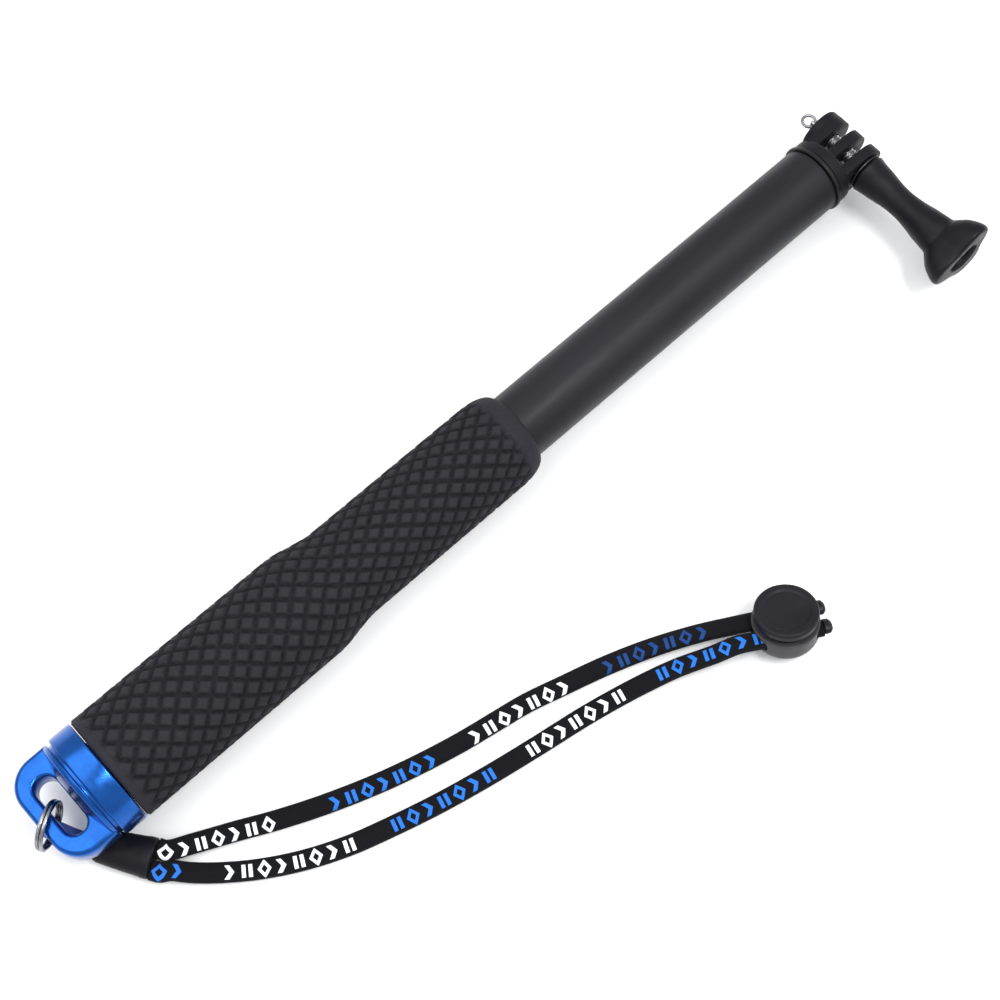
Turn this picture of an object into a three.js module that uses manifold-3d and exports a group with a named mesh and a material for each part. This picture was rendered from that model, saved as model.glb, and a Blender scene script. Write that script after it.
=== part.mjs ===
// Telescopic selfie stick with an action-camera fitting, a wrist strap and a cord lock.
// Millimetres, +Z up. The pole lies along +X with its fitting at the +X end, on the plane z = 0.
import * as THREE from 'three';
import { mergeVertices } from 'three/addons/utils/BufferGeometryUtils.js';
import Module from 'manifold-3d';

const wasm = await Module();
wasm.setup();

// ---- driving dimensions -------------------------------------------------------------------
// Places along the pole are measured from the grip's rear face, sideways from the pole's axis.
const GRIP_REAR_X = -120.56;
const POLE_Y = 14.7;
const POLE_Z = 15;
const GAP = 0.3;
const FIT = 0.15;
const ROUND = 32;
const ROUND_INNER = 24;

const GRIP_LENGTH = 134;
const GRIP_REAR_RADIUS = 15;
const GRIP_FRONT_RADIUS = 12.95;
const HIP_START = 61;
const HIP_END = 76;
const GRIP_NOSE_LENGTH = 8;
const GRIP_NOSE_DROP = 3;

const TUBE_END = 245;
const TUBE_RADII = [9.5, 7.8, 6.1, 4.4];
const WALL = 0.8;
const BORES = TUBE_RADII.map((radius) => radius - WALL);

const FLANGE_LENGTH = 1.2;
const OUTER_FLANGE_RADIUS = 10.15;
const BUSHING_SKIRT = 8;
const SLIDE_FIT = 0.2;

const TAIL_END = 10.2;
const LOCK_PITCH = 17.5;
const RETAINER_LENGTH = 1;
const COLLET_LENGTH = 7.7;
const COLLET_WALL = 1.6;
const CONE_TAPER = 1.3;
const PLUG_LENGTH = 6;
const COLLET_SLIT = 0.8;

const RIM_RADIUS = 14.9;
const RIM_LENGTH = 6.4;
const GROOVE_RADIUS = 13.6;
const GROOVE_LENGTH = 1;
const PLATE_THICKNESS = 7;
const PLATE_HALF_WIDTH = 14.5;
const PLATE_END = -21.4;
const PLATE_CORNER = 7.5;
const PLATE_BEVEL = 0.7;
const LANYARD_HOLE = { x: -14.1, length: 17, width: 6 };
const STUD_RADIUS = 3;
const STUD_START = -4.2;
const STUD_END = TAIL_END - 0.6;
const SPIGOT_END = 4;

const COLLAR_RADIUS = 9.7;
const COLLAR_LENGTH = 3.5;
const SHANK_LENGTH = 14;
const HOLE_OFFSET = 7.8;
const PRONG_RADIUS = 6.6;
const PRONG_THICKNESS = 3;
const PRONG_PITCH = 6;
const NUT_PRONG_FACE = 10.2;
const SCREW_RADIUS = 2.5;
const SCREW_HOLE = 2.7;
const NUT_FLATS = 8;
const NUT_THICKNESS = 3.2;
const NUT_POCKET_DEPTH = 3.7;

const WASHER_THICKNESS = 0.6;
const KNOB_LENGTH = 36.4;
const KNOB_LOBES = 3;
const KNOB_LOBE_DEPTH = 0.16;
const KNOB_LOBE_ANGLE = 58;
const KNOB_SCREW_DEPTH = 26;
const EYE_TAB_THICKNESS = 0.9;
const TETHER_RING_RADIUS = 1.8;
const TETHER_WIRE_RADIUS = 0.4;
const EYE_Y = 11.7;

const SPLIT_RING_RADIUS = 6;
const SPLIT_RING_WIRE = 1;
const SPLIT_RING_WIDTH = 2;
const RING = { x: -19.3, y: -1, z: 14.5 };
const BIGHT_HEADING = -58;
const BIGHT_EYE_RADIUS = 1.8;
const BIGHT_WALL = 1;
const BIGHT_WIDTH = 4.4;
const BIGHT_LENGTH = 9.5;

const FERRULE = { x: -14.07, y: -9.33, z: 4, heading: -56 };
const FERRULE_LENGTH = 14.8;
const FERRULE_HEIGHT_RATIO = 0.77;

const STRAND_WIDTH = 5.2;
const STRAND_THICKNESS = 3;
const STRAND_STEPS = 26;
const STRAND_START_OFFSET = 2.75;
const STRAND_LOCK_OFFSET = 3;

const CORD_LOCK = { x: 150.4, y: -85.6, heading: -30, lean: 18 };
const CORD_LOCK_RADIUS = 8.8;
const CORD_LOCK_BORE = 7.2;
const CORD_LOCK_HEIGHT = 7.5;
const CORD_LOCK_FOOT = 3.5;
const CORD_LOCK_FLOOR = 0.8;
const CHANNEL_HEIGHT = 3.4;
const CHANNEL_HALF_WIDTH = 5.9;
const CHANNEL_CENTRE = 5;
const BUTTON_TRAVEL = 1.8;
const BUTTON_RADIUS = 8.4;
const TIP_START = CORD_LOCK_RADIUS + GAP;

// ---- materials ------------------------------------------------------------------------------
function material(color, roughness, metalness) {
  return new THREE.MeshStandardMaterial({ color, roughness, metalness });
}
const rubberBlack = () => material(0x17171a, 0.8, 0);
const plasticBlack = () => material(0x141416, 0.5, 0);
const paintBlack = () => material(0x1d1d20, 0.45, 0.6);
const anodisedBlue = () => material(0x1c6fd6, 0.3, 0.9);
const steel = () => material(0xb9bbbf, 0.3, 1);
const nylonWhite = () => material(0xdedcd4, 0.55, 0);
const strapBlack = () => material(0x0e0e12, 0.9, 0);
const strapBlue = () => material(0x4f9fe6, 0.85, 0);

// ---- geometry helpers -----------------------------------------------------------------------
// A closed mesh with shared vertices, no flat triangles and its faces turned outwards.
function welded(geometry) {
  const bare = new THREE.BufferGeometry();
  bare.setAttribute('position', geometry.getAttribute('position').clone());
  if (geometry.index) bare.setIndex(geometry.index.clone());
  const merged = mergeVertices(bare, 1e-4);
  const corners = [];
  const index = merged.index.array;
  for (let i = 0; i < index.length; i += 3) {
    const [a, b, c] = [index[i], index[i + 1], index[i + 2]];
    if (a !== b && b !== c && c !== a) corners.push(a, b, c);
  }
  const position = merged.getAttribute('position');
  const [p, q, r] = [new THREE.Vector3(), new THREE.Vector3(), new THREE.Vector3()];
  let volume = 0;
  for (let i = 0; i < corners.length; i += 3) {
    p.fromBufferAttribute(position, corners[i]);
    q.fromBufferAttribute(position, corners[i + 1]);
    r.fromBufferAttribute(position, corners[i + 2]);
    volume += p.dot(q.cross(r));
  }
  if (volume < 0) corners.reverse();
  merged.setIndex(corners);
  merged.computeVertexNormals();
  return merged;
}

function toSolid(geometry) {
  const mesh = welded(geometry);
  return new wasm.Manifold(new wasm.Mesh({
    numProp: 3,
    vertProperties: new Float32Array(mesh.getAttribute('position').array),
    triVerts: new Uint32Array(mesh.index.array),
  }));
}

function toGeometry(solid) {
  const mesh = solid.getMesh();
  const geometry = new THREE.BufferGeometry();
  geometry.setAttribute('position', new THREE.BufferAttribute(mesh.vertProperties, 3));
  geometry.setIndex(new THREE.BufferAttribute(mesh.triVerts, 1));
  return geometry;
}

// Cuts a body with tools, and joins other bodies to it first.
function carve(body, { join = [], cut = [] }) {
  let solid = toSolid(body);
  for (const piece of join) solid = solid.add(toSolid(piece));
  for (const tool of cut) solid = solid.subtract(toSolid(tool));
  return toGeometry(solid);
}

// A body turned about the X axis from [x, radius] points.
function turned(profile, segments = ROUND_INNER) {
  const points = profile.map(([x, radius]) => new THREE.Vector2(radius, x));
  return new THREE.LatheGeometry(points, segments).rotateZ(-Math.PI / 2);
}

// A hollow body turned about the X axis: its profile closes on itself.
function turnedHollow(profile, segments = ROUND_INNER) {
  return turned([...profile, profile[0]], segments);
}

// The same body turned about the Y axis.
function aboutY(geometry) {
  return geometry.rotateZ(Math.PI / 2);
}

// A body turned about the Z axis from [radius, z] points.
function upright(profile, segments = ROUND_INNER) {
  const points = profile.map(([radius, z]) => new THREE.Vector2(radius, z));
  return new THREE.LatheGeometry(points, segments).rotateX(Math.PI / 2);
}

function rod(radius, from, to, segments = ROUND_INNER) {
  return turned([[from, 0], [from, radius], [to, radius], [to, 0]], segments);
}

function block(from, to) {
  const size = to.map((value, axis) => value - from[axis]);
  const middle = to.map((value, axis) => (value + from[axis]) / 2);
  return new THREE.BoxGeometry(...size).translate(...middle);
}

const group = new THREE.Group();
const pole = new THREE.Group();
pole.position.set(GRIP_REAR_X, POLE_Y, POLE_Z);
group.add(pole);

function place(parent, name, geometry, look) {
  const mesh = new THREE.Mesh(welded(geometry), look);
  mesh.name = name;
  parent.add(mesh);
  return mesh;
}

// ---- grip -------------------------------------------------------------------------------------
function gripSleeve() {
  const bore = TUBE_RADII[0] + FIT;
  const profile = [[0, bore], [0, GRIP_REAR_RADIUS - 0.8], [0.8, GRIP_REAR_RADIUS]];
  const hipSteps = 5;
  for (let step = 0; step <= hipSteps; step++) {
    const share = step / hipSteps;
    const blend = (1 - Math.cos(Math.PI * share)) / 2;
    profile.push([
      THREE.MathUtils.lerp(HIP_START, HIP_END, share),
      THREE.MathUtils.lerp(GRIP_REAR_RADIUS, GRIP_FRONT_RADIUS, blend),
    ]);
  }
  const noseSteps = 4;
  for (let step = 0; step <= noseSteps; step++) {
    const angle = (step / noseSteps) * (Math.PI / 2);
    profile.push([
      GRIP_LENGTH - GRIP_NOSE_LENGTH + GRIP_NOSE_LENGTH * Math.sin(angle),
      GRIP_FRONT_RADIUS - GRIP_NOSE_DROP * (1 - Math.cos(angle)),
    ]);
  }
  profile.push([GRIP_LENGTH, bore]);
  return turnedHollow(profile, ROUND);
}
place(pole, 'grip_sleeve', gripSleeve(), rubberBlack());

// ---- end cap and what holds it ---------------------------------------------------------------
function roundedPlate(fromX, toX, halfWidth, corner) {
  const shape = new THREE.Shape();
  shape.moveTo(fromX, -halfWidth);
  shape.lineTo(fromX, halfWidth);
  shape.lineTo(toX + corner, halfWidth);
  shape.absarc(toX + corner, halfWidth - corner, corner, Math.PI / 2, Math.PI, false);
  shape.absarc(toX + corner, -halfWidth + corner, corner, Math.PI, Math.PI * 1.5, false);
  return shape;
}

function slotShape(centreX, length, width) {
  const radius = width / 2;
  const reach = length / 2 - radius;
  const shape = new THREE.Shape();
  shape.absarc(centreX, reach, radius, 0, Math.PI, false);
  shape.absarc(centreX, -reach, radius, Math.PI, Math.PI * 2, false);
  return shape;
}

function endCap() {
  const grooveStart = -GAP - RIM_LENGTH;
  const grooveEnd = grooveStart - GROOVE_LENGTH;
  const chamfer = 0.7;
  const spigotRadius = BORES[0] - FIT;
  const boreRadius = STUD_RADIUS + FIT;
  const boreStart = STUD_START - 0.4;
  const body = turned([
    [boreStart, 0], [boreStart, boreRadius], [SPIGOT_END, boreRadius], [SPIGOT_END, spigotRadius],
    [-GAP, spigotRadius], [-GAP, RIM_RADIUS - chamfer], [-GAP - chamfer, RIM_RADIUS],
    [grooveStart + chamfer, RIM_RADIUS], [grooveStart, RIM_RADIUS - chamfer],
    [grooveStart, GROOVE_RADIUS], [grooveEnd, GROOVE_RADIUS],
    [grooveEnd, RIM_RADIUS - 1], [grooveEnd - 1.2, RIM_RADIUS - 1.4],
    [grooveEnd - 3, 7], [grooveEnd - 3, 0],
  ], ROUND);
  const thickness = PLATE_THICKNESS - 2 * PLATE_BEVEL;
  const outline = roundedPlate(
    grooveEnd - 0.5, PLATE_END + PLATE_BEVEL, PLATE_HALF_WIDTH - PLATE_BEVEL, PLATE_CORNER,
  );
  outline.holes.push(slotShape(
    LANYARD_HOLE.x, LANYARD_HOLE.length + 2 * PLATE_BEVEL, LANYARD_HOLE.width + 2 * PLATE_BEVEL,
  ));
  const plate = new THREE.ExtrudeGeometry(outline, {
    depth: thickness, bevelEnabled: true, bevelThickness: PLATE_BEVEL, bevelSize: PLATE_BEVEL,
    bevelSegments: 2, curveSegments: 7,
  }).translate(0, 0, -thickness / 2);
  const stop = block([grooveEnd, -40, -40], [20, 40, 40]);
  const trimmedPlate = carve(plate, { cut: [stop] });
  const hole = new THREE.ExtrudeGeometry(
    slotShape(LANYARD_HOLE.x, LANYARD_HOLE.length, LANYARD_HOLE.width),
    { depth: 30, bevelEnabled: false, curveSegments: 7 },
  ).translate(0, 0, -15);
  return carve(body, { join: [trimmedPlate], cut: [hole] });
}
place(pole, 'end_cap', endCap(), anodisedBlue());
place(pole, 'cap_stud', rod(STUD_RADIUS, STUD_START, STUD_END), steel());
place(pole, 'tail_plug', turnedHollow([
  [SPIGOT_END + GAP, STUD_RADIUS + FIT], [SPIGOT_END + GAP, BORES[0] - FIT],
  [STUD_END, BORES[0] - FIT], [STUD_END, STUD_RADIUS + FIT],
]), nylonWhite());

// ---- telescopic tubes and their twist locks ---------------------------------------------------
function tube(section, from) {
  const radius = TUBE_RADII[section];
  const bore = BORES[section];
  return turnedHollow([[from, bore], [from, radius], [TUBE_END, radius], [TUBE_END, bore]], ROUND);
}

function mouthBushing(section) {
  const inner = TUBE_RADII[section + 1] + SLIDE_FIT;
  const outer = BORES[section] - FIT;
  const flange = section === 0 ? OUTER_FLANGE_RADIUS : TUBE_RADII[section];
  const flangeStart = TUBE_END + GAP;
  const flangeEnd = flangeStart + FLANGE_LENGTH;
  return turnedHollow([
    [TUBE_END - BUSHING_SKIRT, inner], [TUBE_END - BUSHING_SKIRT, outer], [flangeStart, outer],
    [flangeStart, flange], [flangeEnd - 0.3, flange], [flangeEnd, flange - 0.3],
    [flangeEnd, inner],
  ], ROUND);
}

function twistLock(section) {
  const start = TAIL_END + LOCK_PITCH * (section - 1);
  const colletStart = start + RETAINER_LENGTH + GAP;
  const colletEnd = colletStart + COLLET_LENGTH;
  const colletRadius = BORES[section - 1] - FIT;
  const coneTop = colletRadius - COLLET_WALL - SLIDE_FIT;
  const coneFoot = coneTop - CONE_TAPER;
  const flangeEnd = colletEnd + GAP + 0.8;
  const cone = turned([
    [start, 0], [start, coneFoot + 1], [start + RETAINER_LENGTH, coneFoot + 1],
    [start + RETAINER_LENGTH, coneFoot], [colletStart, coneFoot], [colletEnd, coneTop],
    [colletEnd + GAP, coneTop], [colletEnd + GAP, TUBE_RADII[section] - 0.1],
    [flangeEnd, TUBE_RADII[section] - 0.1], [flangeEnd, BORES[section] - FIT],
    [flangeEnd + PLUG_LENGTH, BORES[section] - FIT], [flangeEnd + PLUG_LENGTH, 0],
  ]);
  const sleeve = turnedHollow([
    [colletStart, coneFoot + SLIDE_FIT], [colletStart, colletRadius - 0.4],
    [colletStart + 0.6, colletRadius], [colletEnd, colletRadius],
    [colletEnd, coneTop + SLIDE_FIT],
  ]);
  const slit = block([start - 1, -COLLET_SLIT / 2, 0], [colletEnd + 1, COLLET_SLIT / 2, 20]);
  return { cone, collet: carve(sleeve, { cut: [slit] }), tubeStart: flangeEnd + GAP };
}

place(pole, 'outer_tube', tube(0, GAP + 0.3), paintBlack());
place(pole, 'mouth_bushing_1', mouthBushing(0), plasticBlack());
for (let section = 1; section < TUBE_RADII.length; section++) {
  const number = section + 1;
  const lock = twistLock(section);
  place(pole, `collet_${number}`, lock.collet, nylonWhite());
  place(pole, `cone_plug_${number}`, lock.cone, plasticBlack());
  if (number < TUBE_RADII.length) {
    place(pole, `tube_${number}`, tube(section, lock.tubeStart), paintBlack());
    place(pole, `mouth_bushing_${number}`, mouthBushing(section), plasticBlack());
  }
}

// ---- camera mount ----------------------------------------------------------------------------
const COLLAR_START = TUBE_END + GAP + FLANGE_LENGTH + GAP;
const COLLAR_END = COLLAR_START + COLLAR_LENGTH;
const HOLE_X = COLLAR_END + HOLE_OFFSET;
const PIN_X = COLLAR_START - SHANK_LENGTH + 3;
const PIN_RADIUS = 1;

function pinBore() {
  return aboutY(rod(PIN_RADIUS + FIT, -20, 20, 12)).translate(PIN_X, 0, 0);
}

// One prong: a plate with a round end about the screw hole, from y = low to y = high.
function prong(low, high) {
  const shape = new THREE.Shape();
  shape.moveTo(COLLAR_END - 0.5, -PRONG_RADIUS);
  shape.absarc(HOLE_X, 0, PRONG_RADIUS, -Math.PI / 2, Math.PI / 2, false);
  shape.lineTo(COLLAR_END - 0.5, PRONG_RADIUS);
  return new THREE.ExtrudeGeometry(shape, {
    depth: high - low, bevelEnabled: false, curveSegments: 12,
  }).rotateX(Math.PI / 2).translate(0, high, 0);
}

function hexagon(flats, low, high) {
  const radius = flats / Math.sqrt(3);
  return aboutY(rod(radius, low, high, 6)).translate(HOLE_X, 0, 0);
}

function cameraMount() {
  const shankRadius = BORES[3] - FIT;
  const body = turned([
    [COLLAR_START - SHANK_LENGTH, 0], [COLLAR_START - SHANK_LENGTH, shankRadius],
    [COLLAR_START, shankRadius], [COLLAR_START, COLLAR_RADIUS - 0.3],
    [COLLAR_START + 0.3, COLLAR_RADIUS], [COLLAR_END - 0.9, COLLAR_RADIUS],
    [COLLAR_END - 0.25, COLLAR_RADIUS - 0.35], [COLLAR_END, COLLAR_RADIUS - 1],
    [COLLAR_END, 0],
  ], ROUND);
  const half = PRONG_THICKNESS / 2;
  const innerFace = PRONG_PITCH - half;
  const base = block(
    [COLLAR_END - 0.5, -PRONG_PITCH - half, -PRONG_RADIUS],
    [COLLAR_END + 0.6, PRONG_PITCH + half, PRONG_RADIUS],
  );
  const boss = aboutY(turned([
    [PRONG_PITCH, 0], [PRONG_PITCH, PRONG_RADIUS - 0.1],
    [NUT_PRONG_FACE - 0.8, PRONG_RADIUS - 0.1], [NUT_PRONG_FACE, PRONG_RADIUS - 0.9],
    [NUT_PRONG_FACE, 0],
  ])).translate(HOLE_X, 0, 0);
  const screwHole = aboutY(rod(SCREW_HOLE, -20, 20)).translate(HOLE_X, 0, 0);
  const pocket = hexagon(NUT_FLATS + 2 * FIT, NUT_PRONG_FACE - NUT_POCKET_DEPTH, 20);
  return carve(body, {
    join: [
      base,
      prong(-PRONG_PITCH - half, -innerFace),
      prong(-half, half),
      prong(innerFace, PRONG_PITCH + half),
      boss,
    ],
    cut: [screwHole, pocket, pinBore()],
  });
}

const innerLock = twistLock(3);
place(pole, 'tube_4', carve(tube(3, innerLock.tubeStart), { cut: [pinBore()] }), paintBlack());
place(pole, 'camera_mount', cameraMount(), plasticBlack());
place(pole, 'mount_pin', aboutY(rod(PIN_RADIUS, -4.3, 4.3, 12)).translate(PIN_X, 0, 0), steel());

const nutInner = NUT_PRONG_FACE - NUT_POCKET_DEPTH + FIT;
place(pole, 'lock_nut', carve(hexagon(NUT_FLATS, nutInner, nutInner + NUT_THICKNESS), {
  cut: [aboutY(rod(SCREW_HOLE, -20, 20)).translate(HOLE_X, 0, 0)],
}), steel());

// ---- thumbscrew ---------------------------------------------------------------------------------
const prongOuterY = -PRONG_PITCH - PRONG_THICKNESS / 2;
const washerEnd = prongOuterY - GAP - WASHER_THICKNESS;
const knobStart = washerEnd - GAP;

// The knob's radius along its length, from the prong outwards, and where its lobes begin.
const KNOB_PROFILE = [
  [0, 5.1], [0.6, 5.6], [2.6, 5.2], [6, 4.75], [10, 4.15], [14, 4], [18, 4.4], [22, 5.15],
  [25.5, 5.7], [27.3, 6.1], [28.6, 7.5], [30.4, 9.1], [32.4, 10.2], [34.6, 11], [35.8, 11.1],
  [36.4, 10.5],
];
const LOBE_START = 26;

// A three-lobed flare: the radius swells and shrinks around the axis beyond the lobe's start.
// The first lobe stands at the lobe angle, turned from +X towards +Z.
function lobed(geometry) {
  const position = geometry.getAttribute('position');
  const firstLobe = THREE.MathUtils.degToRad(180 + KNOB_LOBE_ANGLE);
  for (let i = 0; i < position.count; i++) {
    const x = position.getX(i);
    const [y, z] = [position.getY(i), position.getZ(i)];
    const strength = THREE.MathUtils.smoothstep(x, LOBE_START, LOBE_START + 5) * KNOB_LOBE_DEPTH;
    const angle = Math.atan2(z, y) - firstLobe;
    const lobe = Math.hypot(y, z) > SCREW_RADIUS + 1 ? Math.cos(KNOB_LOBES * angle) - 1 : 0;
    const scale = 1 + strength * lobe;
    position.setXYZ(i, x, y * scale, z * scale);
  }
  return geometry;
}

function thumbKnob() {
  const bore = SCREW_RADIUS + FIT;
  const recessRadius = 4.2;
  const recessFloor = KNOB_LENGTH - 4;
  return aboutY(lobed(turned([
    [KNOB_SCREW_DEPTH, 0], [KNOB_SCREW_DEPTH, bore], [0, bore], ...KNOB_PROFILE,
    [KNOB_LENGTH, recessRadius], [recessFloor, recessRadius - 0.4], [recessFloor, 0],
  ], 36))).rotateX(Math.PI).translate(HOLE_X, knobStart, 0);
}

// The clamp screw ends in a flat tab with an eye for the tether ring.
function clampScrew() {
  const threadEnd = 10.4;
  const shaft = aboutY(rod(SCREW_RADIUS, knobStart - KNOB_SCREW_DEPTH + 0.4, threadEnd)).translate(HOLE_X, 0, 0);
  const half = EYE_TAB_THICKNESS / 2;
  const tab = block([HOLE_X - half, threadEnd - 0.5, -1.3], [HOLE_X + half, EYE_Y + 1, 1.3]);
  const eye = rod(TETHER_WIRE_RADIUS + 0.25, -5, 5, 12).translate(HOLE_X, EYE_Y, 0);
  return carve(shaft, { join: [tab], cut: [eye] });
}

place(pole, 'thrust_washer', aboutY(turnedHollow([
  [washerEnd, SCREW_HOLE], [washerEnd, 5.4],
  [washerEnd + WASHER_THICKNESS, 5.4], [washerEnd + WASHER_THICKNESS, SCREW_HOLE],
])).translate(HOLE_X, 0, 0), steel());
place(pole, 'thumb_knob', thumbKnob(), plasticBlack());
place(pole, 'clamp_screw', clampScrew(), steel());
place(pole, 'tether_ring', new THREE.TorusGeometry(
  TETHER_RING_RADIUS, TETHER_WIRE_RADIUS, 8, 24,
).translate(HOLE_X, EYE_Y + TETHER_RING_RADIUS, 0), steel());

// ---- wrist strap: ring, bight, ferrule -------------------------------------------------------
const strap = new THREE.Group();
strap.position.set(GRIP_REAR_X, POLE_Y, 0);
group.add(strap);

// A frame of the strap: at a place, turned to a heading about Z and leaning about its own X.
function strapFrame({ x, y, z, heading, lean = 0 }) {
  const frame = new THREE.Group();
  frame.position.set(x, y, z);
  frame.rotation.set(-THREE.MathUtils.degToRad(lean), 0, THREE.MathUtils.degToRad(heading), 'ZXY');
  strap.add(frame);
  return frame;
}

const ringFrame = strapFrame({ ...RING, heading: BIGHT_HEADING });
const ringInner = SPLIT_RING_RADIUS - SPLIT_RING_WIRE / 2;
const ringOuter = SPLIT_RING_RADIUS + SPLIT_RING_WIRE / 2;
const ringHalf = SPLIT_RING_WIDTH / 2;
place(ringFrame, 'split_ring', turnedHollow([
  [-ringHalf, ringInner + 0.2], [-ringHalf, ringOuter - 0.2], [-ringHalf + 0.25, ringOuter],
  [ringHalf - 0.25, ringOuter], [ringHalf, ringOuter - 0.2], [ringHalf, ringInner + 0.2],
  [ringHalf - 0.25, ringInner], [-ringHalf + 0.25, ringInner],
], 28), steel());

// The bight, seen from its side: an eye about the ring's wire and a flat tail to the ferrule.
function strapBight() {
  const eyeZ = -SPLIT_RING_RADIUS - 0.3;
  const tailZ = FERRULE.z + 0.2 - RING.z;
  const tailHalf = 1.5;
  const shape = new THREE.Shape();
  shape.absarc(0, eyeZ, BIGHT_EYE_RADIUS + BIGHT_WALL, Math.PI * 0.33, Math.PI * 1.39, false);
  shape.lineTo(BIGHT_LENGTH, tailZ - tailHalf);
  shape.lineTo(BIGHT_LENGTH, tailZ + tailHalf);
  const eye = new THREE.Path();
  eye.absarc(0, eyeZ, BIGHT_EYE_RADIUS, 0, Math.PI * 2, true);
  shape.holes.push(eye);
  return new THREE.ExtrudeGeometry(shape, {
    depth: BIGHT_WIDTH, bevelEnabled: false, curveSegments: 8,
  }).rotateX(Math.PI / 2).translate(0, BIGHT_WIDTH / 2, 0);
}
place(ringFrame, 'strap_bight', strapBight(), strapBlue());

const ferruleFrame = strapFrame(FERRULE);
place(ferruleFrame, 'ferrule', turned([
  [0, 0], [0, 3.6], [0.8, 4.2], [6, 4.6], [12, 5.1], [14, 5.19], [FERRULE_LENGTH, 5],
  [FERRULE_LENGTH, 0],
]).scale(1, 1, FERRULE_HEIGHT_RATIO), plasticBlack());

// ---- wrist strap: the two strands ------------------------------------------------------------
const footHeight = (lean) => (CORD_LOCK_RADIUS - CORD_LOCK_FOOT) * Math.sin(lean)
  + CORD_LOCK_FOOT * (1 - Math.cos(lean));
const leanAngle = THREE.MathUtils.degToRad(CORD_LOCK.lean);
const cordLock = strapFrame({ ...CORD_LOCK, z: footHeight(leanAngle) });

// Routes of the strands' centres between the ferrule and the cord lock: [x, y, height].
const UPPER_ROUTE = [
  [4.0, -25.1, 3.0], [14.2, -29.8, 1.9], [22.0, -33.7, 1.6], [32.4, -38.4, 1.6],
  [43.2, -42.6, 1.6], [52.2, -45.6, 1.6], [61.4, -48.2, 1.6], [70.6, -50.4, 1.6],
  [80.0, -52.2, 1.6], [89.2, -54.0, 1.6], [99.3, -56.9, 1.6], [110.9, -60.4, 1.6],
  [122.7, -65.0, 2.5], [133.5, -70.6, 4.6],
];
const LOWER_ROUTE = [
  [-4.6, -26.5, 3.6], [-0.9, -30.4, 2.9], [4.1, -34.8, 2.2], [11.6, -40.4, 1.7],
  [21.1, -46.1, 1.6], [32.2, -51.1, 1.6], [43.9, -54.9, 1.6], [56.1, -58.3, 1.6],
  [69.4, -61.3, 1.6], [83.7, -64.0, 1.6], [97.6, -66.4, 1.6], [110.6, -69.3, 1.7],
  [122.6, -73.1, 3.5], [132.6, -77.7, 6.1],
];
// Places along the cord lock's axis where the strands run straight.
const STRAIGHT_ENDS = [-13.5, -8, -2, 4, TIP_START - GAP];

// The whole route of one strand; side is +1 for the upper one and -1 for the lower one.
function strandPath(route, side) {
  const inStrap = (frame, point) => {
    frame.updateMatrix();
    return point.applyMatrix4(frame.matrix);
  };
  const start = [GAP, 2.6].map((beyond) => inStrap(ferruleFrame, new THREE.Vector3(
    FERRULE_LENGTH + beyond, side * STRAND_START_OFFSET, 0,
  )));
  const end = STRAIGHT_ENDS.map((along) => inStrap(cordLock, new THREE.Vector3(
    along, side * STRAND_LOCK_OFFSET, CHANNEL_CENTRE,
  )));
  const middle = route.map((point) => new THREE.Vector3(...point));
  return new THREE.CatmullRomCurve3([...start, ...middle, ...end]);
}

// A flattened tube whose flat side stays up, and leans with the cord lock near its end.
function strand(route, side) {
  const section = new THREE.Shape();
  const sides = 8;
  for (let corner = 0; corner < sides; corner++) {
    const angle = ((corner + 0.5) / sides) * Math.PI * 2;
    const reach = (value) => Math.sign(value) * Math.abs(value / Math.cos(Math.PI / sides)) ** 0.8;
    const point = [
      reach(Math.cos(angle)) * STRAND_THICKNESS / 2, reach(Math.sin(angle)) * STRAND_WIDTH / 2,
    ];
    if (corner === 0) section.moveTo(...point);
    else section.lineTo(...point);
  }
  const path = strandPath(route, side);
  path.computeFrenetFrames = (steps) => {
    const frames = { tangents: [], normals: [], binormals: [] };
    for (let step = 0; step <= steps; step++) {
      const tangent = path.getTangentAt(step / steps);
      const lean = leanAngle * THREE.MathUtils.smoothstep(step / steps, 0.66, 0.85);
      const up = new THREE.Vector3(0, 0, 1).applyAxisAngle(tangent, -lean);
      const across = new THREE.Vector3().crossVectors(tangent, up).normalize();
      frames.tangents.push(tangent);
      frames.normals.push(new THREE.Vector3().crossVectors(across, tangent));
      frames.binormals.push(across);
    }
    return frames;
  };
  return new THREE.ExtrudeGeometry(section, {
    steps: STRAND_STEPS, bevelEnabled: false, extrudePath: path,
  });
}
place(strap, 'strand_upper', strand(UPPER_ROUTE, 1), strapBlack());
place(strap, 'strand_lower', strand(LOWER_ROUTE, -1), strapBlack());

// ---- cord lock ---------------------------------------------------------------------------------
// Its own frame: +X along the strands, +Z up through the button.
function channel(low, high) {
  return block([-20, -CHANNEL_HALF_WIDTH, low], [20, CHANNEL_HALF_WIDTH, high]);
}

// A quarter circle's points, as [outwards, upwards] shares of one, from level to upright.
function quarterArc(steps) {
  return Array.from({ length: steps + 1 }, (_, step) => {
    const angle = (step / steps) * (Math.PI / 2);
    return [Math.sin(angle), 1 - Math.cos(angle)];
  });
}

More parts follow.
